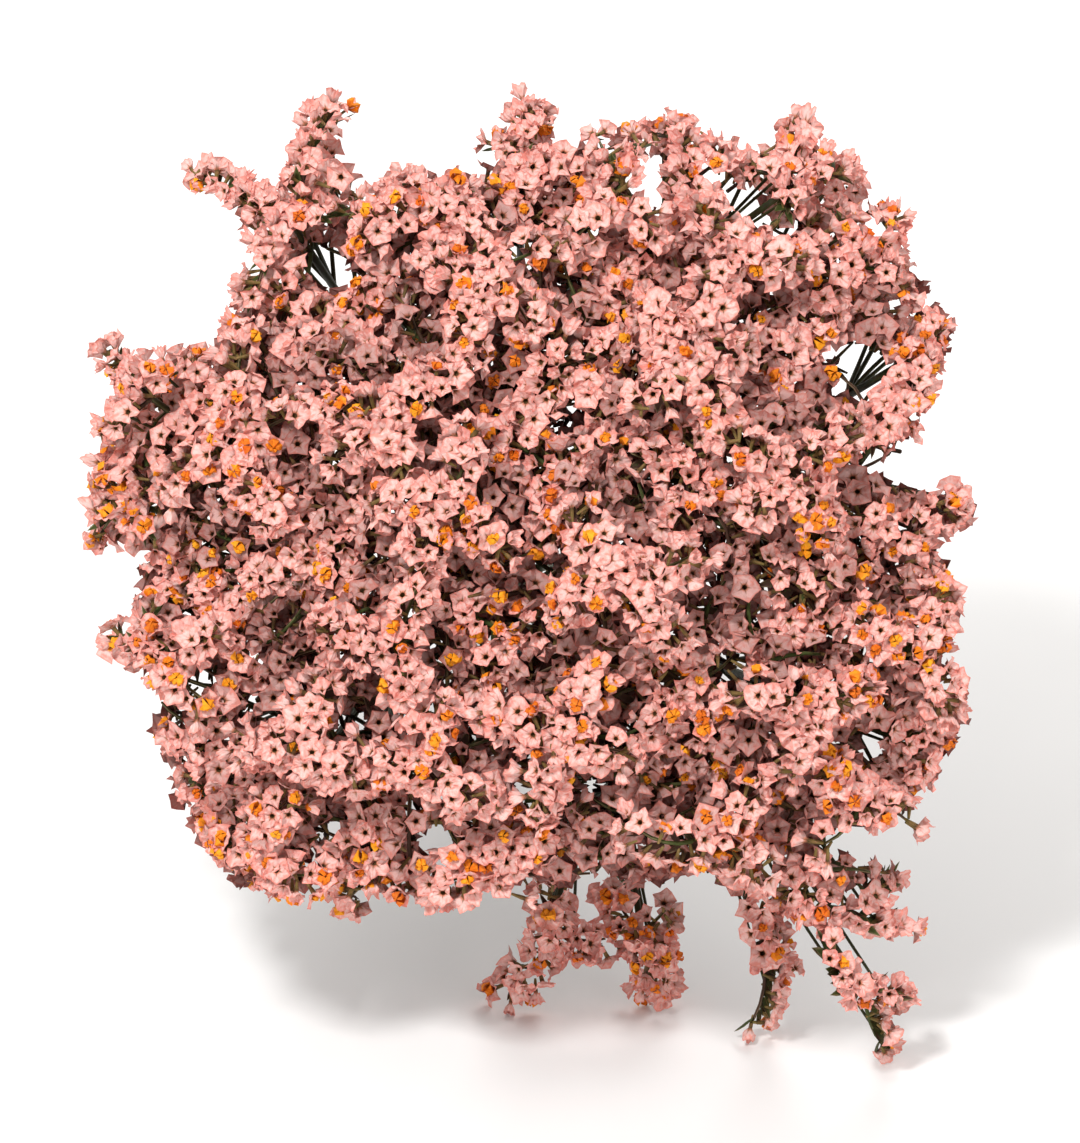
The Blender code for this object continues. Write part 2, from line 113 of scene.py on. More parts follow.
# Each spray lists its heads as a hub (right, up, back) and the tips of its arms (right, up),
# in millimetres from the middle of the face. "Back" is how far a head lies behind the dome.
SPRAYS = {
    "upper_left": (
        ((-94, 143, 8), ((-138, 167), (-77, 198), (-62, 148), (-112, 109))),
        ((-70, 98, 28), ((-52, 112), (-49, 84), (-87, 88), (-90, 104))),
        ((-36, 147, 6), ((-50, 157), (-57, 134), (-19, 130), (-21, 153))),
        ((-49, 64, 4), ((-69, 66), (-28, 79), (-47, 45), (-67, 50))),
    ),
    "top": (
        ((-2, 164, 24), ((-12, 176), (2, 193), (20, 156), (7, 141))),
        ((-15, 112, 0), ((-31, 122), (7, 125), (-21, 92), (-1, 102))),
        ((40, 158, 0), ((29, 181), (48, 177), (25, 138), (47, 140))),
        ((38, 118, 28), ((26, 125), (58, 134), (35, 98), (53, 110))),
        ((15, 80, 20), ((10, 100), (36, 88), (5, 66), (29, 68))),
    ),
    "upper_right": (
        ((67, 160, 16), ((59, 182), (82, 173), (71, 144))),
        ((108, 157, 4), ((90, 164), (113, 185), (134, 164), (101, 140))),
        ((138, 126, 20), ((125, 150), (152, 148), (156, 113), (124, 115))),
        ((86, 125, 0), ((74, 139), (103, 123), (73, 103))),
        ((109, 92, 28), ((93, 88), (124, 102), (102, 72))),
    ),
    "right": (
        ((156, 87, 10), ((167, 102), (152, 68), (139, 57))),
        ((105, 42, 0), ((87, 50), (124, 54), (115, 22), (95, 30))),
        ((149, 14, 26), ((169, 24), (158, -6), (134, 22))),
        ((151, -29, 4), ((161, -14), (163, -46), (138, -21))),
        ((111, -7, 26), ((95, 4), (127, 2), (125, -26), (99, -24))),
    ),
    "lower_right": (
        ((109, -48, 0), ((127, -46), (90, -46), (105, -68))),
        ((149, -65, 28), ((163, -57), (153, -77), (138, -56))),
        ((133, -90, 6), ((149, -96), (122, -103), (118, -76))),
        ((122, -132, 22), ((162, -148), (150, -125), (101, -121))),
        ((138, -168, -1), ((155, -174), (148, -195), (121, -150))),
        ((98, -151, 52), ((94, -189), (112, -166), (92, -131))),
    ),
    "bottom": (
        ((67, -104, 0), ((87, -112), (85, -88), (49, -100))),
        ((-15, -112, 26), ((-32, -120), (-7, -123), (9, -105), (-27, -101))),
        ((48, -145, 104), ((53, -164), (60, -133), (40, -134))),
        ((13, -143, 104), ((-2, -164), (30, -147), (12, -130))),
    ),
    "lower_left": (
        ((-87, -64, 0), ((-104, -67), (-69, -75), (-77, -46))),
        ((-37, -76, 4), ((-57, -72), (-19, -84), (-33, -58))),
        ((-59, -109, 30), ((-66, -124), (-47, -118), (-77, -102), (-55, -93))),
        ((-104, -109, 6), ((-126, -102), (-102, -126), (-86, -117), (-95, -93))),
        ((-123, -74, 28), ((-143, -62), (-127, -90), (-105, -82), (-118, -56))),
    ),
    "left": (
        ((-111, -10, 26), ((-129, 1), (-95, -2), (-107, -32))),
        ((-141, -29, 4), ((-167, -25), (-128, -46), (-146, -12), (-126, -25))),
        ((-157, 29, 24), ((-175, 16), (-172, 45), (-148, 8))),
        ((-151, 72, 0), ((-169, 93), (-166, 57), (-134, 85))),
        ((-113, 52, 6), ((-113, 88), (-93, 62), (-133, 38), (-101, 28))),
    ),
    "inner_upper": (
        ((11, 42, 26), ((-9, 50), (29, 48), (9, 20))),
        ((60, 85, 4), ((53, 100), (80, 88), (51, 70), (73, 70))),
        ((65, 38, 24), ((47, 46), (83, 30), (59, 20), (69, 56))),
        ((-29, 28, 4), ((-47, 28), (-23, 48), (-13, 14), (-37, 8))),
    ),
    "inner_lower": (
        ((-11, -20, 28), ((-31, -10), (7, -22), (-17, -42))),
        ((39, 2, 2), ((25, 18), (60, 6), (53, -18), (21, -10))),
        ((-49, -26, 2), ((-69, -22), (-41, -6), (-43, -46))),
        ((17, -64, 8), ((-4, -56), (35, -68), (9, -86), (25, -46))),
        ((63, -42, 26), ((49, -32), (79, -34), (51, -66), (73, -66))),
        ((-71, 18, 28), ((-87, 30), (-59, 38), (-67, -2), (-85, 8))),
    ),
}

# Openings where the sky shows through, as the camera sees them: right, up and reach, in millimetres
OPENINGS = (
    (-112, 172, 9), (-104, 163, 6), (-97, 168, 6), (-120, 141, 7), (-114, 132, 6), (-128, 128, 8),
    (-106, 124, 4), (-66, 176, 6), (-60, 168, 5), (-79, 124, 7), (-72, 119, 4), (-13, 170, 4),
    (24, 181, 5), (32, 175, 3), (51, 154, 6), (58, 143, 3), (49, 163, 5), (87, 150, 7), (95, 142, 4),
    (73, 160, 4), (-1, 129, 5), (103, 136, 4), (138, 139, 4), (129, 90, 5), (137, 83, 9), (128, 76, 3),
    (146, 79, 4), (139, 48, 5), (150, 44, 6), (158, 41, 5), (165, 62, 8), (171, 75, 6), (177, 12, 8),
    (-172, 64, 3), (-160, 5, 6), (-166, -15, 4), (-150, 8, 3), (-127, -44, 5), (-148, -70, 5),
    (-145, -118, 12), (-127, -119, 6), (-35, -106, 6), (-32, -115, 4), (-77, -102, 4), (-59, -130, 6),
    (-67, -59, 4), (3, -84, 4), (83, -38, 5), (91, -42, 4), (138, -28, 4), (140, -68, 5), (28, -83, 3),
    (-24, -150, 18), (-6, -133, 8), (-14, -128, 5), (30, -168, 12), (22, -123, 3), (33, -122, 4),
    (70, -125, 7), (70, -138, 9), (72, -158, 11), (79, -176, 8), (97, -117, 5), (124, -107, 5),
    (136, -106, 7), (150, -106, 9), (164, -90, 8), (176, -112, 10), (152, -150, 7), (160, -172, 5),
    (113, -154, 4), (113, -163, 6), (117, -174, 6), (122, -194, 9),
)

# Heads whose calyxes stand to one side of their axis: the side's right and up
ONE_SIDED = {"lower_right": {4: (1.1, 0.4), 5: (1.0, 0.2)}, "bottom": {3: (0.0, 0.5)}}


def face_point(right: float, up: float, out: float) -> Vector:
    """Turns the bunch's own directions into the part's.

    Args:
        right: Distance to the right in the face.
        up: Distance up in the face.
        out: Distance along the axis, from the band towards the flowers.

    Returns:
        The point, measured from the middle of the band.
    """
    return Vector((
        right,
        up * math.sin(LEAN) - out * math.cos(LEAN),
        up * math.cos(LEAN) + out * math.sin(LEAN),
    ))


def dome_spread(right: float, up: float) -> float:
    """Gives a place's distance from the dome's middle, as a share of its radius."""
    return math.hypot(right - DOME_RIGHT, up - DOME_UP) / DOME_RADIUS


def dome_out(right: float, up: float) -> float:
    """Gives how far out the dome of heads lies at a place in the face."""
    return DOME_RIM_OUT + DOME_RISE * (1.0 - dome_spread(right, up) ** DOME_SHOULDER)


def on_dome(place: Sequence[float], back: float, drop: float = 0.0) -> Vector:
    """Finds a point of the dome, drawn in at its edge, where calyxes stand outwards.

    Args:
        place: Right and up, in millimetres.
        back: How far behind the dome, in millimetres.
        drop: A further distance behind it, in metres.

    Returns:
        The point, measured from the middle of the band.
    """
    right, up = place[0] * MM, place[1] * MM
    spread = dome_spread(right, up)
    if spread > INNER_SPREAD:
        inset = EDGE_INSET / (spread * DOME_RADIUS)
        right += (DOME_RIGHT - right) * inset
        up += (DOME_UP - up) * inset
    return face_point(right, up, dome_out(right, up) - back * MM - drop)


def outward(point: Vector) -> Vector:
    """Gives the direction a head at this point faces: away from the dome's focus."""
    return (point - face_point(DOME_RIGHT, DOME_UP, DOME_FOCUS_OUT)).normalized()


def along(points: Sequence[Vector], share: float) -> Vector:
    """Finds the point at a share of a polyline's length.

    Args:
        points: The polyline.
        share: The share, 0 to 1.

    Returns:
        The point.
    """
    lengths = [(b - a).length for a, b in zip(points, points[1:])]
    left = share * sum(lengths)
    for start, end, length in zip(points, points[1:], lengths):
        if left <= length:
            return start.lerp(end, left / length)
        left -= length
    return points[-1].copy()


def smooth_path(points: Sequence[Vector], count: int) -> list[Vector]:
    """Rounds a polyline into a smooth curve through its points.

    Args:
        points: The polyline.
        count: How many points to give each stretch.

    Returns:
        Points along the curve.
    """
    ends = [points[0] * 2 - points[1], *points, points[-1] * 2 - points[-2]]
    curve = []
    for a, b, c, d in zip(ends, ends[1:], ends[2:], ends[3:]):
        for step in range(count):
            t = step / count
            curve.append(((b * 2) + (c - a) * t + (a * 2 - b * 5 + c * 4 - d) * t * t
                          + (b * 3 - a - c * 3 + d) * t ** 3) / 2)
    curve.append(points[-1].copy())
    return curve


def upright_to(direction: Vector, hint: Vector) -> np.ndarray:
    """Makes a turn from a direction.

    Args:
        direction: Where the turned Z axis points.
        hint: What the turned X axis leans to.

    Returns:
        The turn, as a 3 by 3 array.
    """
    z_axis = direction.normalized()
    x_axis = hint - z_axis * hint.dot(z_axis)
    if x_axis.length < 1e-6:
        x_axis = z_axis.orthogonal()
    x_axis.normalize()
    return np.array((x_axis, z_axis.cross(x_axis), z_axis)).T


class Slot(Enum):
    """Names of material slots."""

    FLOWERS = "flowers"
    STEMS = "stems"
    BINDING = "binding"


class Detail(Enum):
    """How finely a calyx is made: steps round each of its five lobes."""

    FINE = 4
    PLAIN = 2


Colour = tuple[float, float, float]
Face = tuple[int, ...]
Socket = bpy.types.NodeSocket

LOBES = 5
STEM_RIBS = 3

# The bake map's tiles: each has its own tone, pale for the front; the deep tiles' low tones are painted
# shade for the depth
TILES_A_SIDE = 8
TILE_FILL = 0.46
DEEP_TILES = 16
FRONT_TILES = TILES_A_SIDE ** 2 - DEEP_TILES
DEEP_TONE = 0.4
FRONT_TONE = 0.45

# A tube's reach runs from 0 to the first of these along its sides, and is the second at its cut ends
SIDE_REACH = 1.0
CUT_REACH = 1.2

# Bracts whose tone is above this are the greener for it
BRACT_TONE = 0.78

# Below this the picture has only slim, one-sided sprigs
LOW_SPRIGS = -122 * MM

# Rows this many degrees off a comb's facing stand between their neighbours, or show from the side
SIDE_ROW = 40
OUTER_ROW = 60

# So many points of combs close round a place, if no gap between them is wider than these
CLOSING_POINTS = 6
WIDEST_FILLED = math.radians(115)
WIDEST_COVERED = math.radians(118)
NOWHERE = np.full((1, 2), 10.0)


def tile_tone_and_shade(tile: int) -> float:
    """Gives the tone of a map tile's calyx: 0 is deep, under the most painted shade, 1 is pale.

    Args:
        tile: The tile.

    Returns:
        The tone, whose low values are painted shade on a calyx.
    """
    if tile >= FRONT_TILES:
        return DEEP_TONE * (tile - FRONT_TILES) / DEEP_TILES
    return FRONT_TONE + (1.0 - FRONT_TONE) * tile / (FRONT_TILES - 1)


def tile_centre(tile: int) -> np.ndarray:
    """Gives the middle of a tile of the map."""
    return np.array((tile % TILES_A_SIDE + 0.5, tile // TILES_A_SIDE + 0.5)) / TILES_A_SIDE


def closed_round(away: np.ndarray, widest: float) -> bool:
    """Tells whether combs lie on every side of a place.

    Args:
        away: The way from the place to points on the combs near it, as right and up.
        widest: The widest angle that may lie open between two of them.

    Returns:
        Whether they close round it.
    """
    if len(away) < CLOSING_POINTS:
        return False
    angles = np.sort(np.arctan2(away[:, 1], away[:, 0]))
    return bool(np.diff(np.append(angles, angles[0] + math.tau)).max() < widest)


@dataclass
class Form:
    """One small shape, ready to be set in place many times.

    Attributes:
        points: Its vertices, in metres.
        faces: Its faces, with three or four corners each.
        reach: Each vertex's place from the root, 0, to the rim, 1.
        angle: Each vertex's angle round the shape.
        fold: Each vertex's closeness to a crease, 0 to 1.
    """

    points: np.ndarray
    faces: list[Face]
    reach: np.ndarray
    angle: np.ndarray
    fold: np.ndarray


class Sketch:
    """Collects a small shape's vertices with their shading values."""

    def __init__(self) -> None:
        """Starts with no vertices."""
        self.points: list[tuple[float, float, float]] = []
        self.values: list[tuple[float, float, float]] = []

    def add(self, point: tuple[float, float, float], reach: float, angle: float, fold: float) -> None:
        """Adds a vertex."""
        self.points.append(point)
        self.values.append((reach, angle, fold))

    def form(self, faces: list[Face]) -> Form:
        """Gives the finished shape."""
        reach, angle, fold = np.array(self.values, float).T
        return Form(np.array(self.points), faces, reach, angle, fold)


def ring_faces(rings: int, sides: int) -> list[Face]:
    """Lists the quads that join rings of equal size.

    Args:
        rings: How many rings there are.
        sides: How many corners each has.

    Returns:
        The faces.
    """
    faces = []
    for ring in range(rings - 1):
        for side in range(sides):
            after = (side + 1) % sides
            faces.append((ring * sides + side, ring * sides + after,
                          (ring + 1) * sides + after, (ring + 1) * sides + side))
    return faces


def strip_faces(first: int, rows: int) -> list[Face]:
    """Lists the quads of a strip that is three corners wide."""
    corners = [first + row * 3 + side for row in range(rows - 1) for side in range(2)]
    return [(corner, corner + 1, corner + 4, corner + 3) for corner in corners]


def joining_faces(low: int, low_sides: int, high: int, high_sides: int) -> list[Face]:
    """Joins two rings, the second of which may have twice the sides of the first.

    Args:
        low: The first ring's first corner.
        low_sides: Its number of corners.
        high: The second ring's first corner.
        high_sides: Its number of corners.

    Returns:
        The faces between them.
    """
    faces = []
    for side in range(low_sides):
        after = low + (side + 1) % low_sides
        if high_sides == low_sides:
            faces.append((low + side, after, high + (side + 1) % high_sides, high + side))
            continue
        near, middle, far = (high + (2 * side + step) % high_sides for step in range(3))
        faces += [(low + side, after, middle), (low + side, middle, near), (after, far, middle)]
    return faces


@dataclass(frozen=True)
class Calyx:
    """A papery funnel with a pleated, five-pointed rim.

    Attributes:
        detail: How finely it is made.
        rim: Radius of the rim at a point of the star.
        opening: 1 for a flat rim, less for one half shut.
        waist: How far the rim is drawn in between two points.
        waist_shape: How soon it is drawn in, away from a point.
        ruffle: How far each corner of the rim may stray up or down.
        pleat: Half the height of the pleats.
        lobe_sizes: The least and greatest size of a lobe.
        lobe_lifts: The least and greatest lift of a lobe's tip.
        shut_in: How far the rim draws in as it shuts.
        shut_up: How far it rises as it shuts.
    """

    detail: Detail
    rim: float = 5.9 * MM
    opening: float = 1.0
    waist: float = 0.26
    waist_shape: float = 0.7
    ruffle: float = 1.1 * MM
    pleat: float = 0.75 * MM
    lobe_sizes: tuple[float, float] = (0.86, 1.08)
    lobe_lifts: tuple[float, float] = (-1.1 * MM, 2.8 * MM)
    shut_in: float = 0.55
    shut_up: float = 0.9

    def rings(self) -> list[tuple[float, float, float, float, int]]:
        """Lists the rings from root to rim.

        Returns:
            Each ring's radius, height, reach, share of the star, and number of sides.
        """
        tube, rim = 2 * LOBES, LOBES * self.detail.value
        rings = [(0.5 * MM, -6.5 * MM, 0.0, 0.0, tube), (0.9 * MM, -2.2 * MM, 0.2, 0.0, tube),
                 (1.05 * MM, -0.9 * MM, 0.33, 0.25, tube), (0.58 * self.rim, 0.0, 0.66, 0.6, rim),
                 (self.rim, 0.6 * MM, 1.0, 1.0, rim)]
        return rings if self.detail is Detail.FINE else rings[:1] + rings[2:]

    def form(self, rng: random.Random) -> Form:
        """Builds the funnel with its own ruffles.

        Args:
            rng: Draws the ruffles.

        Returns:
            The form, its throat at the origin and its face towards +Z.
        """
        sketch, faces = Sketch(), []
        lobe_size = [rng.uniform(*self.lobe_sizes) for _ in range(LOBES)]
        lobe_lift = [rng.uniform(*self.lobe_lifts) for _ in range(LOBES)]
        first, before = 0, 0
        for radius, height, reach, star, sides in self.rings():
            for side in range(sides):
                turn = math.tau * side / sides
                wave = math.cos(LOBES * turn)
                lobe = side * LOBES / sides
                own = round(lobe) % LOBES
                off_tip = abs((lobe + 0.5) % 1.0 - 0.5) * 2
                shut = star * (1.0 - self.opening)
                flare = (radius * (1.0 - star * self.waist * off_tip ** self.waist_shape)
                         * (1.0 + star * (lobe_size[own] - 1.0)) * (1.0 - self.shut_in * shut))
                lift = (height + shut * self.rim * self.shut_up
                        + star * (rng.uniform(-self.ruffle, self.ruffle)
                                  + (1.0 - off_tip) * lobe_lift[own] - wave * self.pleat))
                sketch.add((flare * math.cos(turn), flare * math.sin(turn), lift),
                           reach, turn, 0.5 + 0.5 * wave)
            if before:
                faces += joining_faces(first - before, before, first, sides)
            first, before = len(sketch.points), sides
        return sketch.form(faces)


@dataclass(frozen=True)
class Corolla:
    """A small dried flower, crumpled in the mouth of a calyx.

    Attributes:
        size: Its radius.
        rows: Radius, height and reach of each row of a petal, as shares of the size.
        half_petal: Half of a petal's angle at its root.
        crumple: The most that a corner may stray in or out.
    """

    size: float = 2.4 * MM
    rows: tuple[tuple[float, float, float], ...] = (
        (0.3, -0.3, 0.0), (0.95, 0.2, 0.45), (0.8, 0.8, 0.8), (0.12, 0.9, 1.0))
    half_petal: float = 0.75
    crumple: tuple[float, float] = (-0.34, 0.3)

    def form(self, rng: random.Random) -> Form:
        """Builds five crumpled petals that close up over each other.

        Args:
            rng: Draws the crumpling.

        Returns:
            The form, standing on the origin towards +Z.
        """
        sketch, faces = Sketch(), []
        for petal in range(LOBES):
            middle = math.tau * (petal + rng.uniform(-0.2, 0.2)) / LOBES
            faces += strip_faces(len(sketch.points), len(self.rows))
            scale = self.size * rng.uniform(0.75, 1.2)
            for radius, height, reach in self.rows:
                for side in (-1, 0, 1):
                    turn = middle + side * self.half_petal * (1.0 - 0.2 * reach)
                    out = scale * radius * (1 + rng.uniform(*self.crumple))
                    lift = scale * (height + rng.uniform(-0.3, 0.3) * reach + 0.15 * (side == 0))
                    sketch.add((out * math.cos(turn), out * math.sin(turn), lift),
                               reach, turn, float(side == 0))
        return sketch.form(faces)


@dataclass(frozen=True)
class Bract:
    """A pointed green scale with a pale, papery edge, folded along its rib.

    Attributes:
        length: From its root to its tip.
        width: Across its broadest row.
        keel: How far the rib stands out, as a share of half the width.
        rows: The reach and the share of the width of each row.
    """

    length: float = 8.0 * MM
    width: float = 3.4 * MM
    keel: float = 0.448
    rows: tuple[tuple[float, float], ...] = ((0.0, 0.45), (0.35, 1.0), (0.72, 0.62))

    def form(self, rng: random.Random) -> Form:
        """Builds the scale.

        Args:
            rng: Draws its curl.

        Returns:
            The form, rooted at the origin, pointing to +Z, its back to +X.
        """
        sketch = Sketch()
        curl = rng.uniform(0.05, 0.22) * self.length
        for reach, share in self.rows:
            half = self.width * share / 2
            for side in (-1, 0, 1):
                rib = float(side == 0)
                sketch.add((curl * reach ** 2 + self.keel * half * rib, side * half, reach * self.length),
                           reach, side * share, rib)
        sketch.add((curl, 0.0, self.length), 1.0, 0.0, 0.4)
        tip = len(sketch.points) - 1
        faces = strip_faces(0, len(self.rows))
        return sketch.form(faces + [(tip - 3, tip - 2, tip), (tip - 2, tip - 1, tip)])


@dataclass
class MeshBatch:
    """Gathers many small forms, and tubes, into one mesh with its shading values and bake map.

    Attributes:
        points: The vertices, form by form.
        faces: Every face.
        pattern: Where each vertex lies in the mottling.
        shades: Each vertex's reach, fold and tone; a calyx's tone also carries its painted shade.
        uvs: Each vertex's place on the bake map.
        total: How many vertices there are.
    """

    points: list[np.ndarray] = field(default_factory=list)
    faces: list[Face] = field(default_factory=list)
    pattern: list[np.ndarray] = field(default_factory=list)
    shades: list[np.ndarray] = field(default_factory=list)
    uvs: list[np.ndarray] = field(default_factory=list)
    total: int = 0

    def gather(self, points: np.ndarray, faces: Iterable[Face], pattern: np.ndarray,
               shades: np.ndarray, uvs: np.ndarray) -> None:
        """Takes in one form or tube, whose faces count its own vertices from 0.

        Args:
            points: Its vertices, in place.
            faces: Its faces.
            pattern: Where each vertex lies in the mottling.
            shades: Each vertex's reach, fold and tone; a calyx's tone also carries its painted shade.
            uvs: Each vertex's place on the bake map.
        """
        self.points.append(points)
        self.faces += [tuple(corner + self.total for corner in face) for face in faces]
        self.pattern.append(pattern)
        self.shades.append(shades)
        self.uvs.append(uvs)
        self.total += len(points)

    def add(self, form: Form, turn: np.ndarray, place: Vector, scale: float, tile: int) -> None:
        """Sets one form in place.

        Args:
            form: The shape.
            turn: Its turn, as a 3 by 3 array.
            place: Where its origin goes.
            scale: Its size.
            tile: The tile of the map it takes its colours from.
        """
        count = len(form.points)
        flat = np.stack([form.reach * np.cos(form.angle), form.reach * np.sin(form.angle)], 1)
        self.gather(form.points @ turn.T * scale + np.array(place), form.faces,
                    np.column_stack([flat, np.full(count, tile * 1.7)]),
                    np.column_stack([form.reach, form.fold, np.full(count, tile_tone_and_shade(tile))]),
                    tile_centre(tile) + flat * TILE_FILL / TILES_A_SIDE)

    def add_tube(self, path: Sequence[Vector], radii: Sequence[float], sides: int, wings: float,
                 tile: int) -> None:
        """Runs a closed tube along a path.

        Args:
            path: The middle line.
            radii: The radius at each of its points.
            sides: How many sides it has.
            wings: How far its three ribs stand out, as a share of the radius.
            tile: The tile of the map it takes its colours from.
        """
        count = len(path)
        points, pattern, shades = [], [], []
        tone = tile_tone_and_shade(tile)
        hint = (path[-1] - path[0]).orthogonal()
        length = 0.0
        for index, (point, radius) in enumerate(zip(path, radii)):
            before, after = path[max(0, index - 1)], path[min(count - 1, index + 1)]
            frame = upright_to(after - before, hint)
            hint = Vector(frame[:, 0])
            length += (point - before).length
            for side in range(sides):
                turn = math.tau * side / sides
                rib = max(0.0, math.cos(STEM_RIBS * turn))
                size = radius * (1 + wings * rib ** 2)
                local = np.array((size * math.cos(turn), size * math.sin(turn), 0.0))
                points.append(frame @ local + np.array(point))
                pattern.append((math.cos(turn), math.sin(turn), length / MM / 6 + tile * 3.1))
                shades.append((SIDE_REACH * index / (count - 1), rib, tone))
        faces = ring_faces(count, sides)
        for end in (0, count - 1):
            faces += [(end * sides + side, end * sides + (side + 1) % sides, len(points))
                      for side in range(sides)]
            points.append(np.array(path[end]))
            pattern.append((0.0, 0.0, tile * 3.1))
            shades.append((CUT_REACH, 0.0, tone))
        pattern, shades = np.array(pattern), np.array(shades)
        out = 0.1 + 0.34 * np.clip(shades[:, :1], 0.0, SIDE_REACH)
        self.gather(np.array(points), faces, pattern, shades,
                    tile_centre(tile) + pattern[:, :2] * out / TILES_A_SIDE)

    def object(self, name: str, material: bpy.types.Material, smooth: bool,
               mapped: bool = True) -> bpy.types.Object:
        """Makes the Blender object.

        Args:
            name: Its name.
            material: Its material.
            smooth: Whether its faces are shaded smooth.
            mapped: Whether it brings its own bake map.

        Returns:
            The new object, linked to the scene.
        """
        points = np.concatenate(self.points)
        points[:, 2] = np.maximum(points[:, 2], LOWEST)
        mesh = bpy.data.meshes.new(name)
        mesh.from_pydata(points.tolist(), [], self.faces)
        mesh.polygons.foreach_set("use_smooth", np.full(len(self.faces), smooth))
        mesh.attributes.new("pattern", "FLOAT_VECTOR", "POINT").data.foreach_set(
            "vector", np.concatenate(self.pattern).ravel())
        # A calyx's tone carries its painted shade as well as its own tone
        for label, values in zip(("reach", "fold", "tone"), np.concatenate(self.shades).T):
            mesh.attributes.new(label, "FLOAT", "POINT").data.foreach_set(
                "value", np.ascontiguousarray(values))
        if mapped:
            corners = np.zeros(len(mesh.loops), int)
            mesh.loops.foreach_get("vertex_index", corners)
            mesh.uv_layers.new(name=BAKE_MAP).data.foreach_set(
                "uv", np.concatenate(self.uvs)[corners].ravel())
        mesh.materials.append(material)
        mesh.update()
        piece = bpy.data.objects.new(name, mesh)
        bpy.context.scene.collection.objects.link(piece)
        return piece


def hand_over(piece: bpy.types.Object, slot: Slot, *solids: str) -> None:
    """Gives a finished piece to the bunch's one body.

    Args:
        piece: The piece.
        slot: Its material slot; not used.
        solids: The solids it is shown for.
    """
    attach(piece, "root")
    if solids:
        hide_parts(*solids)
    LOG.info("%s: %d faces, replaces %s", piece.name, len(piece.data.polygons),
             ", ".join(solids) or "nothing")


class NodeMaker:
    """Small helper that adds shader nodes and links them."""

    def __init__(self, tree: bpy.types.NodeTree) -> None:
        """Starts on a node tree."""
        self.tree = tree

    def node(self, kind: str, **values: object) -> bpy.types.Node:
        """Adds a node and sets its properties.

        Args:
            kind: Blender's name for its type.
            values: Its properties.

        Returns:
            The node.
        """
        node = self.tree.nodes.new(kind)
        for key, value in values.items():
            setattr(node, key, value)
        return node

    def link(self, source: Socket, target: Socket) -> None:
        """Joins two sockets."""
        self.tree.links.new(source, target)

    def feed(self, socket: Socket, value: Socket | Colour | float) -> None:
        """Links a socket to another, or sets it to a plain colour or number.

        Args:
            socket: The socket to feed.
            value: What feeds it.
        """
        if isinstance(value, Socket):
            self.link(value, socket)
        else:
            socket.default_value = (*value, 1.0) if isinstance(value, tuple) else value

    def attribute(self, name: str, output: str = "Fac") -> Socket:
        """Reads one of the mesh's own shading values."""
        return self.node("ShaderNodeAttribute", attribute_name=name).outputs[output]

    def maths(self, operation: str, first: Socket | float, second: Socket | float,
              clamp: bool = False) -> Socket:
        """Adds a Math node between sockets or plain numbers.

        Args:
            operation: Blender's name for what it does.
            first: Its first value.
            second: Its second value.
            clamp: Whether the result is kept between 0 and 1.

        Returns:
            The result.
        """
        node = self.node("ShaderNodeMath", operation=operation, use_clamp=clamp)
        self.feed(node.inputs[0], first)
        self.feed(node.inputs[1], second)
        return node.outputs[0]

    def ramp(self, source: Socket, stops: Iterable[tuple[float, Colour]]) -> Socket:
        """Turns a value into a colour, by stops whose first two are the lowest and the highest.

        Args:
            source: The value.
            stops: The value and the colour of each stop.

        Returns:
            The colour.
        """
        node = self.node("ShaderNodeValToRGB")
        elements = node.color_ramp.elements
        for index, (place, colour) in enumerate(stops):
            element = elements[index] if index < 2 else elements.new(place)
            element.position = place
            element.color = (*colour, 1.0)
        self.link(source, node.inputs["Fac"])
        return node.outputs["Color"]

    def share(self, source: Socket, *stops: tuple[float, float]) -> Socket:
        """Turns a value into a share, by stops in the same order as a ramp's."""
        return self.ramp(source, [(place, (value,) * 3) for place, value in stops])

    def mix(self, share: Socket | float, first: Socket | Colour, second: Socket | Colour,
            blend: str = "MIX") -> Socket:
        """Mixes two colours.

        Args:
            share: How much of the second there is.
            first: The first colour.
            second: The second colour.
            blend: Blender's name for how they blend.

        Returns:
            The mixed colour.
        """
        node = self.node("ShaderNodeMix", data_type="RGBA", blend_type=blend, clamp_factor=True)
        for index, value in ((0, share), (6, first), (7, second)):
            self.feed(node.inputs[index], value)
        return node.outputs[2]


def mottle_group() -> bpy.types.NodeTree:
    """Makes the fine, dry mottling that petals, bracts and stems share.

    Returns:
        The node group.
    """
    tree = bpy.data.node_groups.new("dry_mottle", "ShaderNodeTree")
    tree.interface.new_socket("Vector", in_out="INPUT", socket_type="NodeSocketVector")
    tree.interface.new_socket("Scale", in_out="INPUT", socket_type="NodeSocketFloat")
    maker = NodeMaker(tree)
    source = maker.node("NodeGroupInput")
    target = maker.node("NodeGroupOutput")
    for name, detail, roughness, finer in (("Broad", 3.0, 0.55, 1.0), ("Fine", 4.0, 0.65, 5.0)):
        tree.interface.new_socket(name, in_out="OUTPUT", socket_type="NodeSocketFloat")
        noise = maker.node("ShaderNodeTexNoise")
        noise.inputs["Detail"].default_value = detail
        noise.inputs["Roughness"].default_value = roughness
        maker.link(source.outputs["Vector"], noise.inputs["Vector"])
        maker.link(maker.maths("MULTIPLY", source.outputs["Scale"], finer), noise.inputs["Scale"])
        maker.link(noise.outputs["Fac"], target.inputs[name])
    return tree


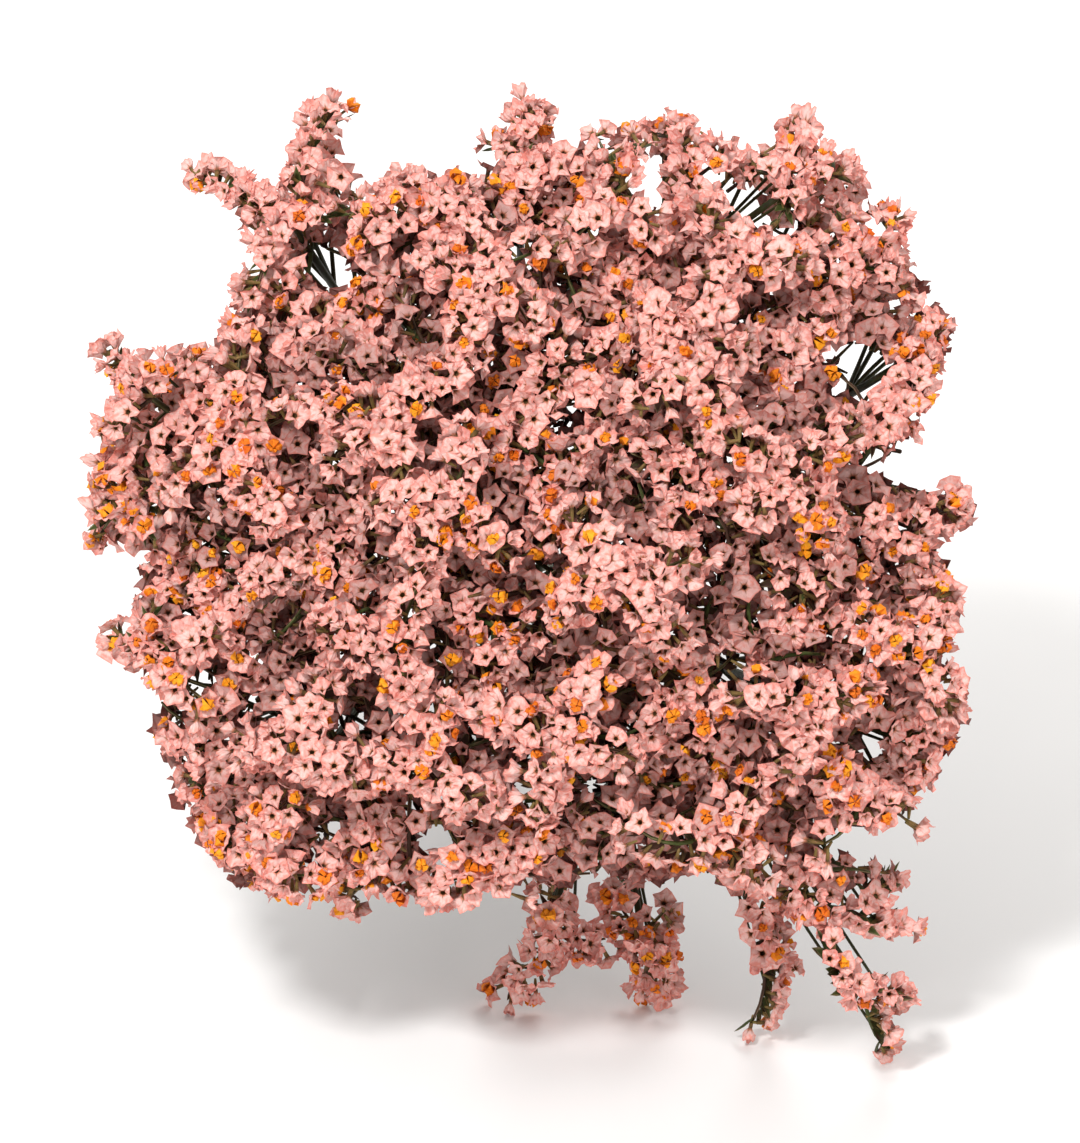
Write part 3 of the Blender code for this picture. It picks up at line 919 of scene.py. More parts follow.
@dataclass(frozen=True)
class Finish:
    """What every finish of the bunch has.

    Attributes:
        name: The material's name.
        roughness: How dull it is.
        bump: Height of its finest relief, in metres.
        fineness: How fine its mottling is.
    """

    name: str
    roughness: float
    bump: float
    fineness: float = 3.0

    def build(self, mottle: bpy.types.NodeTree) -> bpy.types.Material:
        """Builds the material.

        Args:
            mottle: The shared mottling.

        Returns:
            The material, with its shader, relief and colour.
        """
        material = bpy.data.materials.new(self.name)
        material.use_nodes = True
        maker = NodeMaker(material.node_tree)
        shader = material.node_tree.nodes["Principled BSDF"]
        shader.inputs["Roughness"].default_value = self.roughness
        shader.inputs["Specular IOR Level"].default_value = 0.25
        dry = maker.node("ShaderNodeGroup", node_tree=mottle)
        maker.link(maker.attribute("pattern", "Vector"), dry.inputs["Vector"])
        dry.inputs["Scale"].default_value = self.fineness
        bump = maker.node("ShaderNodeBump")
        bump.inputs["Strength"].default_value = 0.6
        bump.inputs["Distance"].default_value = self.bump
        maker.link(dry.outputs["Fine"], bump.inputs["Height"])
        maker.link(bump.outputs["Normal"], shader.inputs["Normal"])
        maker.link(self.colour(maker, dry), shader.inputs["Base Color"])
        return material

    def colour(self, maker: NodeMaker, dry: bpy.types.Node) -> Socket:
        """Mixes the finish's own colour.

        Args:
            maker: Adds the material's nodes.
            dry: The shared mottling, as one of them.

        Returns:
            The colour.
        """
        raise NotImplementedError


@dataclass(frozen=True)
class PaperFinish(Finish):
    """The calyx: olive throat, near-white limb, salmon rim and creases, with painted shade on calyxes of low
    tone.
    """

    root: Colour = (0.22, 0.17, 0.05)
    tube: Colour = (0.16, 0.11, 0.03)
    throat: Colour = (0.045, 0.032, 0.008)
    eye: Colour = (0.60, 0.22, 0.13)
    limb: Colour = (0.88, 0.585, 0.54)
    rim: Colour = (0.82, 0.295, 0.235)
    ray: Colour = (0.16, 0.09, 0.025)
    # Painted shade, multiplied over calyxes of low tone: those deep in the bunch and on shaded rows
    painted_shade: Colour = (0.18, 0.066, 0.052)

    def colour(self, maker: NodeMaker, dry: bpy.types.Node) -> Socket:
        """Mixes root to rim, with olive rays, salmon blush and veins, then painted shade on calyxes of low
        tone.

        Args:
            maker: Adds the material's nodes.
            dry: The shared mottling, as one of them.

        Returns:
            The colour.
        """
        reach = maker.attribute("reach")
        fold = maker.attribute("fold")
        colour = maker.ramp(reach, (
            (0.0, self.root), (1.0, self.rim), (0.2, self.tube), (0.28, self.throat),
            (0.36, self.eye), (0.48, self.limb), (0.86, self.limb)))
        rays = maker.share(reach, (0.0, 0.0), (1.0, 0.0), (0.33, 1.0), (0.45, 0.9), (0.6, 0.0))
        rays = maker.maths("MULTIPLY", rays, maker.maths("POWER", fold, 6.0), clamp=True)
        colour = maker.mix(rays, colour, self.ray)
        blush = maker.share(dry.outputs["Broad"], (0.42, 0.0), (0.62, 0.85))
        outer = maker.share(reach, (0.42, 0.0), (0.7, 1.0))
        colour = maker.mix(maker.maths("MULTIPLY", blush, outer), colour, self.rim)
        colour = maker.mix(maker.share(dry.outputs["Fine"], (0.5, 0.0), (0.75, 0.4)), colour, self.rim)
        # Painted shade: the lower a calyx's tone, the more of the shade colour is multiplied in
        painted_shade_share = maker.share(maker.attribute("tone"), (0.0, 1.0), (1.0, 0.0), (0.45, 0.3), (0.7, 0.0))
        return maker.mix(painted_shade_share, colour, maker.mix(1.0, colour, self.painted_shade, "MULTIPLY"))


@dataclass(frozen=True)
class CorollaFinish(Finish):
    """The small dried corolla: yellow to burnt orange."""

    fineness: float = 4.0
    young: Colour = (0.94, 0.40, 0.015)
    ripe: Colour = (0.88, 0.25, 0.01)
    old: Colour = (0.62, 0.10, 0.012)
    root: Colour = (0.35, 0.12, 0.02)

    def colour(self, maker: NodeMaker, dry: bpy.types.Node) -> Socket:
        """Mixes the ages, darker at the root.

        Args:
            maker: Adds the material's nodes.
            dry: The shared mottling, as one of them.

        Returns:
            The colour.
        """
        age = maker.maths("ADD", maker.attribute("tone"),
                          maker.maths("MULTIPLY", maker.maths("SUBTRACT", dry.outputs["Broad"], 0.5), 0.9))
        colour = maker.ramp(age, ((0.3, self.old), (1.0, self.young), (0.72, self.ripe)))
        deep = maker.ramp(maker.attribute("reach"), ((0.0, self.root), (0.5, (1.0, 1.0, 1.0))))
        return maker.mix(1.0, colour, deep, "MULTIPLY")


@dataclass(frozen=True)
class BractFinish(Finish):
    """The bract: olive green to brown, with a cream edge and tip."""

    fineness: float = 5.0
    green: Colour = (0.055, 0.075, 0.016)
    brown: Colour = (0.05, 0.02, 0.011)
    edge: Colour = (0.36, 0.27, 0.15)

    def colour(self, maker: NodeMaker, dry: bpy.types.Node) -> Socket:
        """Mixes green and brown by the bract's tone, and pales the edge.

        Args:
            maker: Adds the material's nodes.
            dry: The shared mottling, as one of them.

        Returns:
            The colour.
        """
        age = maker.maths("SUBTRACT", dry.outputs["Broad"],
                          maker.maths("SUBTRACT", maker.attribute("tone"), BRACT_TONE))
        colour = maker.mix(maker.share(age, (0.4, 0.0), (0.62, 1.0)), self.green, self.brown)
        pale = maker.maths("MULTIPLY", maker.maths("SUBTRACT", 1.0, maker.attribute("fold")),
                           maker.attribute("reach"))
        return maker.mix(maker.share(pale, (0.35, 0.0), (0.9, 0.9)), colour, self.edge)


@dataclass(frozen=True)
class StemFinish(Finish):
    """The stem: dark green to brown, paler along its ribs and at the cut."""

    fineness: float = 1.6
    green: Colour = (0.03, 0.038, 0.01)
    brown: Colour = (0.035, 0.02, 0.009)
    rib: Colour = (0.10, 0.11, 0.035)
    pith: Colour = (0.50, 0.42, 0.22)

    def colour(self, maker: NodeMaker, dry: bpy.types.Node) -> Socket:
        """Mixes green and brown, then the ribs, then the pith at the cut ends.

        Args:
            maker: Adds the material's nodes.
            dry: The shared mottling, as one of them.

        Returns:
            The colour.
        """
        colour = maker.mix(maker.share(dry.outputs["Broad"], (0.4, 0.0), (0.65, 1.0)),
                           self.green, self.brown)
        rib = maker.maths("MULTIPLY", maker.maths("POWER", maker.attribute("fold"), 2.0),
                          dry.outputs["Fine"])
        colour = maker.mix(rib, colour, self.rib)
        cut = maker.maths("GREATER_THAN", maker.attribute("reach"), (SIDE_REACH + CUT_REACH) / 2)
        return maker.mix(cut, colour, self.pith)


@dataclass(frozen=True)
class RubberFinish(Finish):
    """The band: tan rubber, dusty in its dents."""

    fineness: float = 2.0
    tan: Colour = (0.42, 0.27, 0.12)
    dust: Colour = (0.58, 0.45, 0.28)

    def colour(self, maker: NodeMaker, dry: bpy.types.Node) -> Socket:
        """Mixes dust over the rubber.

        Args:
            maker: Adds the material's nodes.
            dry: The shared mottling, as one of them.

        Returns:
            The colour.
        """
        return maker.mix(maker.share(dry.outputs["Broad"], (0.45, 0.0), (0.7, 0.8)), self.tan, self.dust)


@dataclass
class Finishes:
    """Every material of the bunch."""

    paper: bpy.types.Material
    corolla: bpy.types.Material
    bract: bpy.types.Material
    stem: bpy.types.Material
    rubber: bpy.types.Material

    @classmethod
    def build(cls) -> "Finishes":
        """Builds them all round one shared mottling.

        Returns:
            Every material.
        """
        mottle = mottle_group()
        return cls(
            paper=PaperFinish("calyx_paper", 0.7, 0.1 * MM).build(mottle),
            corolla=CorollaFinish("corolla", 0.65, 0.1 * MM).build(mottle),
            bract=BractFinish("bract", 0.7, 0.1 * MM).build(mottle),
            stem=StemFinish("stem", 0.6, 0.15 * MM).build(mottle),
            rubber=RubberFinish("rubber", 0.55, 0.1 * MM).build(mottle),
        )


@dataclass
class Comb:
    """A curved, one-sided comb of calyxes on its own thin axis.

    Attributes:
        start: Where the axis leaves its hub.
        middle: The axis's middle.
        end: The axis's tip.
        facing: The side that the calyxes stand on.
        depth: How far behind the dome, in metres.
        edge: Whether it stands at the edge of the bunch, where combs are slim.
        filler: Whether it only fills the depth, on a thin stem of its own.
        held: The shares of its axis at which calyxes stand.
    """

    start: Vector
    middle: Vector
    end: Vector
    facing: Vector
    depth: float = 0.0
    edge: bool = False
    filler: bool = False
    held: list[float] = field(default_factory=list)

    def point(self, share: float) -> Vector:
        """Finds a point of the axis.

        Args:
            share: The share of the axis, 0 to 1.

        Returns:
            The point.
        """
        control = self.middle * 2 - (self.start + self.end) / 2
        return (self.start * (1 - share) ** 2 + control * 2 * share * (1 - share)
                + self.end * share ** 2)

    def frame(self, share: float) -> tuple[Vector, Vector, Vector]:
        """Finds the axis's direction at a share, the side that calyxes stand on, and the way across.

        Args:
            share: The share of the axis, 0 to 1.

        Returns:
            The three directions.
        """
        tangent = (self.point(min(1.0, share + 0.05)) - self.point(max(0.0, share - 0.05))).normalized()
        up = (self.facing - tangent * self.facing.dot(tangent)).normalized()
        return tangent, up, tangent.cross(up)

    def length(self) -> float:
        """Gives the axis's length."""
        return (self.middle - self.start).length + (self.end - self.middle).length

    def stretch(self) -> tuple[float, float]:
        """Gives the shares of the axis between which calyxes stand, from the hub of a front comb."""
        return (min(self.held) if self.filler else 0.0, max(self.held))


@dataclass
class Spray:
    """One stem with its branches and the combs of its heads.

    Attributes:
        name: The spray's name.
        hubs: The middle of each head.
        trunk: The main stem's points.
        branches: Each branch's two ends, by head.
        combs: The combs of each head.
        extra: Combs set deeper, with where each one's thin stem leaves.
    """

    name: str
    hubs: list[Vector]
    trunk: list[Vector]
    branches: dict[int, tuple[Vector, Vector]]
    combs: list[list[Comb]]
    extra: list[tuple[Comb, Vector]] = field(default_factory=list)

    @property
    def front_combs(self) -> list[Comb]:
        """Lists the combs of every head."""
        return [comb for combs in self.combs for comb in combs]

    @property
    def head_nodes(self) -> list[str]:
        """Names the solids that this spray's flowers stand for."""
        return [f"head_{self.name}_{index + 1}" for index in range(len(self.hubs))]


def ring_place(index: int, count: int, radius: float, turn: float) -> tuple[float, float]:
    """Gives a stem's place in a ring at the band."""
    angle = turn + math.tau * index / count
    return radius * math.cos(angle), radius * math.sin(angle)


def band_places() -> dict[str, tuple[float, float]]:
    """Gives where each spray's stem passes the band.

    Returns:
        Each stem's right and up, by spray.
    """
    inner = [name for name in SPRAYS if name.startswith("inner")]
    outer = [name for name in SPRAYS if name not in inner]
    places = {}
    for index, name in enumerate(inner):
        places[name] = ring_place(index, len(inner), INNER_RING_RADIUS, INNER_RING_TURN)
    for index, name in enumerate(outer):
        places[name] = ring_place(-index, len(outer), OUTER_RING_RADIUS, OUTER_RING_TURN)
    return places


@dataclass
class Layout:
    """Where every stem and comb of the bunch lies.

    Attributes:
        shift: The middle of the band in the row frame.
        rng: Draws what varies.
        stray: The most that a comb's middle strays to a side.
    """

    shift: Vector
    rng: random.Random
    stray: float = 3 * MM

    def head(self, hub_place: tuple[float, ...], tips: Sequence[tuple[float, float]],
             side: tuple[float, float]) -> tuple[Vector, list[Comb]]:
        """Lays out one head.

        Args:
            hub_place: The hub's right, up and back.
            tips: The right and up of each comb's tip.
            side: The side its calyxes lean to, as right and up.

        Returns:
            The hub and its combs.
        """
        back = hub_place[2]
        hub = on_dome(hub_place, back)
        facing = outward(hub)
        stand = (facing + face_point(*side, 0)).normalized()
        combs = []
        for place in tips:
            inside = dome_spread(place[0] * MM, place[1] * MM) < INNER_SPREAD
            reach = INNER_REACH if inside else EDGE_REACH
            place = [start + (end - start) * reach for start, end in zip(hub_place, place)]
            tip = on_dome(place, back, ARM_TIP_DROP)
            aside = (tip - hub).cross(facing).normalized() * self.rng.uniform(-self.stray, self.stray)
            middle = (hub + tip) / 2 + facing * ARM_ARCH + aside
            combs.append(Comb(hub + self.shift, middle + self.shift, tip + self.shift, stand,
                              back * MM, not inside))
        return hub + self.shift, combs

    def trunk(self, place: tuple[float, float], leader: Vector) -> list[Vector]:
        """Runs a main stem from its cut end, through the band, to its leading head.

        Args:
            place: Where it passes the band, as right and up.
            leader: The hub of its leading head.

        Returns:
            The stem's points.
        """
        right, up = place
        cut_end = face_point(right * TAIL_FLARE, up * TAIL_FLARE, -TAIL_LENGTH) + self.shift
        below = face_point(right, up, -BINDING_WIDTH) + self.shift
        above = face_point(right, up, BINDING_WIDTH) + self.shift
        end = leader - (leader - above).normalized() * NECK_LENGTH
        middle = (above + end) / 2
        axis = face_point(0, 0, 1)
        aside = middle - self.shift
        middle += (aside - axis * aside.dot(axis)).normalized() * STEM_BOW
        return [cut_end, below, above, middle, end]

    def branches(self, trunk: Sequence[Vector], hubs: Sequence[Vector]) -> dict[int, tuple[Vector, Vector]]:
        """Forks a branch off the main stem for every head but the leading one.

        Args:
            trunk: The main stem's points.
            hubs: The middle of each head.

        Returns:
            The two ends of each branch, by head.
        """
        others = sorted(range(1, len(hubs)), key=lambda index: -(hubs[index] - hubs[0]).length)
        branches = {}
        for rank, index in enumerate(others):
            share = LOWEST_FORK + (HIGHEST_FORK - LOWEST_FORK) * rank / max(1, len(others) - 1)
            fork = along(trunk[2:], share)
            branches[index] = (fork, hubs[index] - (hubs[index] - fork).normalized() * NECK_LENGTH)
        return branches

    def sprays(self) -> list[Spray]:
        """Lays out every spray.

        Returns:
            The sprays.
        """
        places = band_places()
        sprays = []
        for name, rows in SPRAYS.items():
            sides = ONE_SIDED.get(name, {})
            heads = [self.head(hub, tips, sides.get(index, (0.0, 0.0)))
                     for index, (hub, tips) in enumerate(rows)]
            hubs = [head[0] for head in heads]
            trunk = self.trunk(places[name], hubs[0])
            sprays.append(Spray(name, hubs, trunk, self.branches(trunk, hubs), [head[1] for head in heads]))
        return sprays


@dataclass(frozen=True)
class Layer:
    """One depth of combs that fill the bunch.

    Attributes:
        shallow: Its least distance behind the dome, in metres.
        deep: Its greatest distance.
        half: Half the length of its combs.
        room: Distance from other combs at which a place counts as open.
        beside_front: Whether it keeps clear of the front combs, and not of its own alone.
    """

    shallow: float
    deep: float
    half: float
    room: float
    beside_front: bool


LAYERS = (
    Layer(18 * MM, 32 * MM, 13 * MM, 9.5 * MM, True),
    Layer(42 * MM, 54 * MM, 16 * MM, 11.875 * MM, False),
    Layer(62 * MM, 76 * MM, 18 * MM, 11.875 * MM, False),
)


@dataclass
class Filler:
    """Finds where the face of the bunch is open, and sets deeper combs there.

    Attributes:
        shift: The middle of the band in the row frame.
        rng: Draws what varies.
        step: Spacing of the places it tries, in metres.
        sky_margin: How far its combs keep from an opening.
        company: Within this distance a place has more front combs than the fewest.
        fewest: That number of points on them.
        reach: How far apart front combs may stand and still close round a place.
        bow: The most that a comb bends, as a share of half its length.
        arch: How far a comb's middle stands out.
        fork_shares: Where along a branch its thin stem may leave.
        least_run: The shortest thin stem.
        least_lean: How much, at least, a thin stem runs the way that the comb faces.
        lean_pull: The less this is, the more a thin stem that runs that way is preferred to a short one.
    """

    shift: Vector
    rng: random.Random
    step: float = 5 * MM
    sky_margin: float = 4 * MM
    company: float = 32 * MM
    fewest: int = 6
    reach: float = 48 * MM
    bow: float = 0.35
    arch: float = 3 * MM
    fork_shares: tuple[float, ...] = (0.55, 0.7, 0.85)
    least_run: float = 25 * MM
    least_lean: float = 0.35
    lean_pull: float = 1.6

    def face_place(self, point: Vector) -> np.ndarray:
        """Gives a point's right and up in the face."""
        local = point - self.shift
        return np.array((local.dot(face_point(1, 0, 0)), local.dot(face_point(0, 1, 0))))

    def samples(self, comb: Comb) -> list[np.ndarray]:
        """Gives places along a comb, in the face."""
        return [self.face_place(comb.point(share)) for share in (0.0, 0.25, 0.5, 0.75, 1.0)]

    def closed_in(self, place: np.ndarray, front: np.ndarray) -> bool:
        """Tells whether a place is clear of the openings and has front combs on every side.

        Args:
            place: The place, as right and up in the face.
            front: The places of the front combs.

        Returns:
            Whether a deeper comb may lie there.
        """
        if any(math.hypot(place[0] - right * MM, place[1] - up * MM) < reach * MM + self.sky_margin
               for right, up, reach in OPENINGS):
            return False
        away = front - place
        gaps = np.linalg.norm(away, axis=1)
        return (gaps < self.company).sum() > self.fewest and closed_round(
            away[gaps < self.reach], WIDEST_FILLED)

    def fill(self, sprays: Sequence[Spray]) -> int:
        """Adds deeper combs to the sprays.

        Args:
            sprays: Every spray, which each take the combs nearest them.

        Returns:
            How many combs were added.
        """
        front = np.array([place for spray in sprays for comb in spray.front_combs
                          for place in self.samples(comb)])
        low, high = front.min(0), front.max(0)
        tries = np.array([(x, y) for x in np.arange(low[0], high[0], self.step)
                          for y in np.arange(low[1], high[1], self.step)])
        tries = tries[[self.closed_in(place, front) for place in tries]]
        added = 0
        for layer in LAYERS:
            taken = front if layer.beside_front else NOWHERE
            while True:
                gaps = np.linalg.norm(tries[:, None, :] - taken[None], axis=2).min(1)
                best = int(gaps.argmax())
                if gaps[best] < layer.room:
                    break
                comb = self.comb_at(tries[best], taken, layer)
                taken = np.vstack([taken, *self.samples(comb)])
                self.hang(comb, sprays)
                added += 1
        return added

    def comb_at(self, place: np.ndarray, taken: np.ndarray, layer: Layer) -> Comb:
        """Makes the comb that fits best at a place.

        Args:
            place: Its middle, as right and up in the face.
            taken: The places of other combs.
            layer: Its layer.

        Returns:
            The comb.
        """
        depth = self.rng.uniform(layer.shallow, layer.deep)
        turns = np.linspace(0, math.pi, 8, endpoint=False)
        runs = [np.array((math.cos(turn), math.sin(turn))) * layer.half for turn in turns]
        run = max(runs, key=lambda run: min(
            np.linalg.norm(taken - end, axis=1).min() for end in (place - run, place + run)))
        bow = np.array((-run[1], run[0])) * self.rng.uniform(-self.bow, self.bow)
        points = []
        for flat, lift in ((place - run, 0.0), (place + bow, self.arch), (place + run, 0.0)):
            points.append(on_dome(flat / MM, depth / MM) + outward(on_dome(flat / MM, 0)) * lift)
        return Comb(*[point + self.shift for point in points], outward(points[1]), depth, filler=True)

    def hang(self, comb: Comb, sprays: Sequence[Spray]) -> None:
        """Gives the comb to the spray whose branches pass closest behind it.

        Args:
            comb: The comb.
            sprays: Every spray.
        """
        target = comb.point(0.5)
        best = None
        for spray in sprays:
            for line in (spray.trunk[2:], *spray.branches.values()):
                for share in self.fork_shares:
                    root = along(line, share)
                    run = target - root
                    lean = run.normalized().dot(comb.facing)
                    cost = run.length * (self.lean_pull - lean)
                    if (lean > self.least_lean and run.length > self.least_run
                            and (best is None or cost < best[0])):
                        best = (cost, spray, root)
        if best is not None:
            best[1].extra.append((comb, best[2]))


@dataclass(frozen=True)
class View:
    """How the picture sees the bunch, along its axis.

    Attributes:
        shift: The middle of the band in the row frame.
        distance: From the camera to the middle of the flowers, in metres.
        right: The picture's middle, to the right in the face.
        up: The picture's middle, up in the face.
        out: The distance along the axis at which the picture is at its true scale.
    """

    shift: Vector
    distance: float = 3.2
    right: float = 7.2 * MM
    up: float = 1.4 * MM
    out: float = 262 * MM

    def place(self, point: Vector) -> tuple[float, float]:
        """Gives a point's right and up in the picture, in metres at the picture's true scale.

        Args:
            point: The point, in the row frame.

        Returns:
            Its right and up.
        """
        local = point - self.shift
        scale = self.distance / (self.distance + self.out - local.dot(face_point(0, 0, 1)))
        return (self.right + (local.dot(face_point(1, 0, 0)) - self.right) * scale,
                self.up + (local.dot(face_point(0, 1, 0)) - self.up) * scale)

    def spread(self, point: Vector) -> float:
        """Gives a point's distance from the dome's middle in the picture, as a share of its radius."""
        return dome_spread(*self.place(point))

    def open_sky(self, point: Vector, margin: float) -> bool:
        """Tells whether a point lies in one of the openings, which grow by a margin in millimetres."""
        right, up = self.place(point)
        return any(math.hypot(right / MM - x, up / MM - y) < reach + margin for x, y, reach in OPENINGS)


@dataclass
class Cover:
    """Knows what the front combs hide, as the picture sees them.

    Attributes:
        view: Finds where a point shows in the picture.
        combs: The front combs.
        behind: How near a comb's axis a deeper calyx is hidden by it.
        reach: How far apart combs may stand and still close round a place.
    """

    view: View
    combs: Sequence[Comb]
    behind: float = 8.5 * MM
    reach: float = 42 * MM

    def __post_init__(self) -> None:
        """Finds where the combs' axes show."""
        shares = np.linspace(0, 1, 7)
        self.axes = np.array([self.view.place(comb.point(share)) for comb in self.combs for share in shares])

    def hides(self, point: Vector) -> bool:
        """Tells whether a deeper calyx lies behind a front comb, or among combs on every side.

        Args:
            point: The middle of the calyx's mouth.

        Returns:
            Whether it does.
        """
        away = self.axes - self.view.place(point)
        gaps = np.hypot(away[:, 0], away[:, 1])
        return bool(gaps.min() < self.behind) or closed_round(away[gaps < self.reach], WIDEST_COVERED)


@dataclass
class Growth:
    """The meshes of what grows on a spray's combs.

    Attributes:
        calyxes: Its calyxes.
        greens: Its bracts and the axes of its combs.
        corollas: Its corollas.
    """

    calyxes: MeshBatch = field(default_factory=MeshBatch)
    greens: MeshBatch = field(default_factory=MeshBatch)
    corollas: MeshBatch = field(default_factory=MeshBatch)

    def finish(self, spray: Spray, finishes: Finishes) -> None:
        """Turns the gathered meshes into the spray's pieces.

        Args:
            spray: The spray.
            finishes: The materials.
        """
        hand_over(self.calyxes.object(f"calyxes_{spray.name}", finishes.paper, False),
                  Slot.FLOWERS, *spray.head_nodes)
        hand_over(self.greens.object(f"bracts_{spray.name}", finishes.bract, True), Slot.STEMS)
        hand_over(self.corollas.object(f"corollas_{spray.name}", finishes.corolla, False), Slot.FLOWERS)


@dataclass
class Dresser:
    """Sets calyxes, bracts and corollas on combs.

    Attributes:
        rng: Draws what varies.
        low: The lowest corner flowers may reach.
        high: The highest corner.
        view: Finds where a point shows in the picture.
        cover: Knows which deeper calyxes stay hidden or closed in.
        taken: The places that calyxes already hold, by cell.
        cell: The side of such a cell.
        rim: How far a calyx's mouth keeps inside the corners.
        pitch: Distance from one calyx of a row to the next.
        stalk: Distance from a comb's axis to a calyx's mouth.
        slim_stalk: The same at the edge of the bunch.
        room: Least distance between the mouths of front calyxes.
        deep_room: The same for deeper ones.
        deep_sky_margin: How far deeper calyxes keep from an opening, in millimetres.
        tilt: How much a calyx leans off its direction.
        openness: How open the calyxes' forms are.
        rows: The angles of the rows on a full comb, in degrees.
        slim_rows: The same at the edge of the bunch.
        sparse_rows: The same on the low sprigs, which bear calyxes on one side.
        tip_row: The angles of the calyxes at a comb's tip.
        axis_radii: The radii of a comb's axis, from its hub.
    """

    rng: random.Random
    low: Vector
    high: Vector
    view: View
    cover: Cover
    taken: dict[tuple[int, ...], list[Vector]] = field(default_factory=dict)
    cell: float = 8 * MM
    rim: float = 3.5 * MM
    pitch: float = 5.6 * MM
    stalk: float = 7.9 * MM
    slim_stalk: float = 6.4 * MM
    room: float = 4.7 * MM
    deep_room: float = 5.9 * MM
    deep_sky_margin: float = 3.0
    tilt: float = 0.26
    openness: tuple[float, ...] = (1.0, 1.0, 0.95, 0.9, 0.8, 0.65, 0.45, 0.25)
    rows: tuple[int, ...] = (0, -44, 44, -84, 84)
    slim_rows: tuple[int, ...] = (0, -42, 42)
    sparse_rows: tuple[int, ...] = (-8, -50)
    tip_row: tuple[int, ...] = (-50, 0, 50)
    axis_radii: tuple[float, ...] = (0.95 * MM, 0.9 * MM, 0.8 * MM, 0.7 * MM, 0.5 * MM)

    def __post_init__(self) -> None:
        """Makes the small forms that are set on every comb."""
        self.fine = [Calyx(Detail.FINE, opening=opening, waist=self.rng.uniform(0.14, 0.32)).form(self.rng)
                     for opening in self.openness for _ in range(4)]
        self.plain = [Calyx(Detail.PLAIN, opening=opening).form(self.rng)
                      for opening in self.openness for _ in range(2)]
        self.corollas = [Corolla().form(self.rng) for _ in range(8)]
        self.bracts = [Bract(length=size * MM).form(self.rng) for size in (6, 7, 8, 9, 10)]

    def free(self, place: Vector, room: float) -> bool:
        """Takes a place for a calyx if no other is within the given room.

        Args:
            place: The middle of its mouth.
            room: The room.

        Returns:
            Whether it got the place.
        """
        cell = tuple(math.floor(value / self.cell) for value in place)
        for step in product((-1, 0, 1), repeat=3):
            near = tuple(index + move for index, move in zip(cell, step))
            if any((other - place).length < room for other in self.taken.get(near, ())):
                return False
        self.taken.setdefault(cell, []).append(place)
        return True

    def fits(self, comb: Comb, mouth: Vector) -> bool:
        """Tells whether a calyx may stand there, and takes its place if so.

        Args:
            comb: Its comb.
            mouth: The middle of its mouth.

        Returns:
            Whether it stands inside the bunch's box, clear of the openings and of its neighbours, and
            out of sight or closed in if it is a deeper one.
        """
        if not all(low + self.rim < value < high - self.rim
                   for low, value, high in zip(self.low, mouth, self.high)):
            return False
        if self.view.open_sky(mouth, self.deep_sky_margin if comb.filler else 0.0):
            return False
        if comb.filler and (self.view.place(mouth)[1] < LOW_SPRIGS or not self.cover.hides(mouth)):
            return False
        return self.free(mouth, self.deep_room if comb.filler else self.room)

    def low_sprig(self, comb: Comb) -> bool:
        """Tells whether a comb belongs to the sparse, one-sided sprigs below the dome."""
        return comb.edge and self.view.place(comb.end)[1] < LOW_SPRIGS

    def stations(self, comb: Comb) -> Iterator[tuple[float, Vector, Vector, bool]]:
        """Walks along a comb, giving each calyx's place on the axis, direction and row.

        Args:
            comb: The comb.

        Yields:
            The share of the axis, the direction, the comb's own direction there, and whether it
            stands on the outer rows.
        """
        length = comb.length()
        count = max(2, round(length / self.pitch))
        rows = self.slim_rows if comb.edge else self.rows
        if self.low_sprig(comb):
            rows = self.sparse_rows
        for step in range(count + 1):
            for row in rows:
                between = 0.5 if SIDE_ROW < abs(row) < OUTER_ROW else 0.0
                share = min(1.0, (step + between + self.rng.uniform(-0.15, 0.15)) / count)
                share = max(0.0, share)
                tangent, up, side = comb.frame(share)
                angle = math.radians(row + self.rng.uniform(-14, 14))
                lean = self.rng.uniform(0.0, 0.3) + 0.75 * max(0.0, share - 0.8) / 0.2
                direction = (up * math.cos(angle) + side * math.sin(angle) + tangent * lean).normalized()
                yield share, direction, tangent, abs(row) > OUTER_ROW
        if not comb.filler:
            tangent, up, side = comb.frame(1.0)
            for turn in self.tip_row:
                angle = math.radians(turn)
                direction = tangent * 1.4 + up * math.cos(angle) * 0.6 + side * math.sin(angle)
                yield 1.0 - 2.5 * MM / length, direction.normalized(), tangent, False

    def dress(self, comb: Comb, age: float, growth: Growth) -> None:
        """Sets everything that grows on a comb.

        Args:
            comb: The comb.
            age: Share of its calyxes that hold a corolla.
            growth: Takes the calyxes, corollas, bracts and axis.
        """
        for share, direction, tangent, outer in self.stations(comb):
            root = comb.point(share)
            stalk = (self.slim_stalk if comb.edge else self.stalk) * self.rng.uniform(0.8, 1.2)
            mouth = root + direction * stalk
            if not self.fits(comb, mouth):
                continue
            forms = self.plain if comb.filler or outer else self.fine
            form = forms[int(len(forms) * self.rng.random() ** (0.85 if comb.edge else 1.25))]
            tile = self.tile(comb, outer)
            tilt = Vector([self.rng.gauss(0, self.tilt) for _ in range(3)])
            turn = upright_to(direction + tilt, Vector([self.rng.uniform(-1, 1) for _ in range(3)]))
            growth.calyxes.add(form, turn, mouth, self.rng.uniform(0.84, 1.14), tile)
            comb.held.append(share)
            if self.rng.random() < age:
                place = mouth + direction * self.rng.uniform(-0.6, 1.0) * MM
                tile = self.rng.randrange(FRONT_TILES)
                growth.corollas.add(self.rng.choice(self.corollas), turn, place,
                                    self.rng.uniform(0.9, 1.4), tile)
            if comb.edge or self.rng.random() < (0.5 if outer else 0.04):
                for _ in range(2 if self.low_sprig(comb) else 1):
                    self.bract(root, direction, tangent, comb, outer or comb.edge, growth.greens)
        if len(comb.held) > 1:
            first, last = comb.stretch()
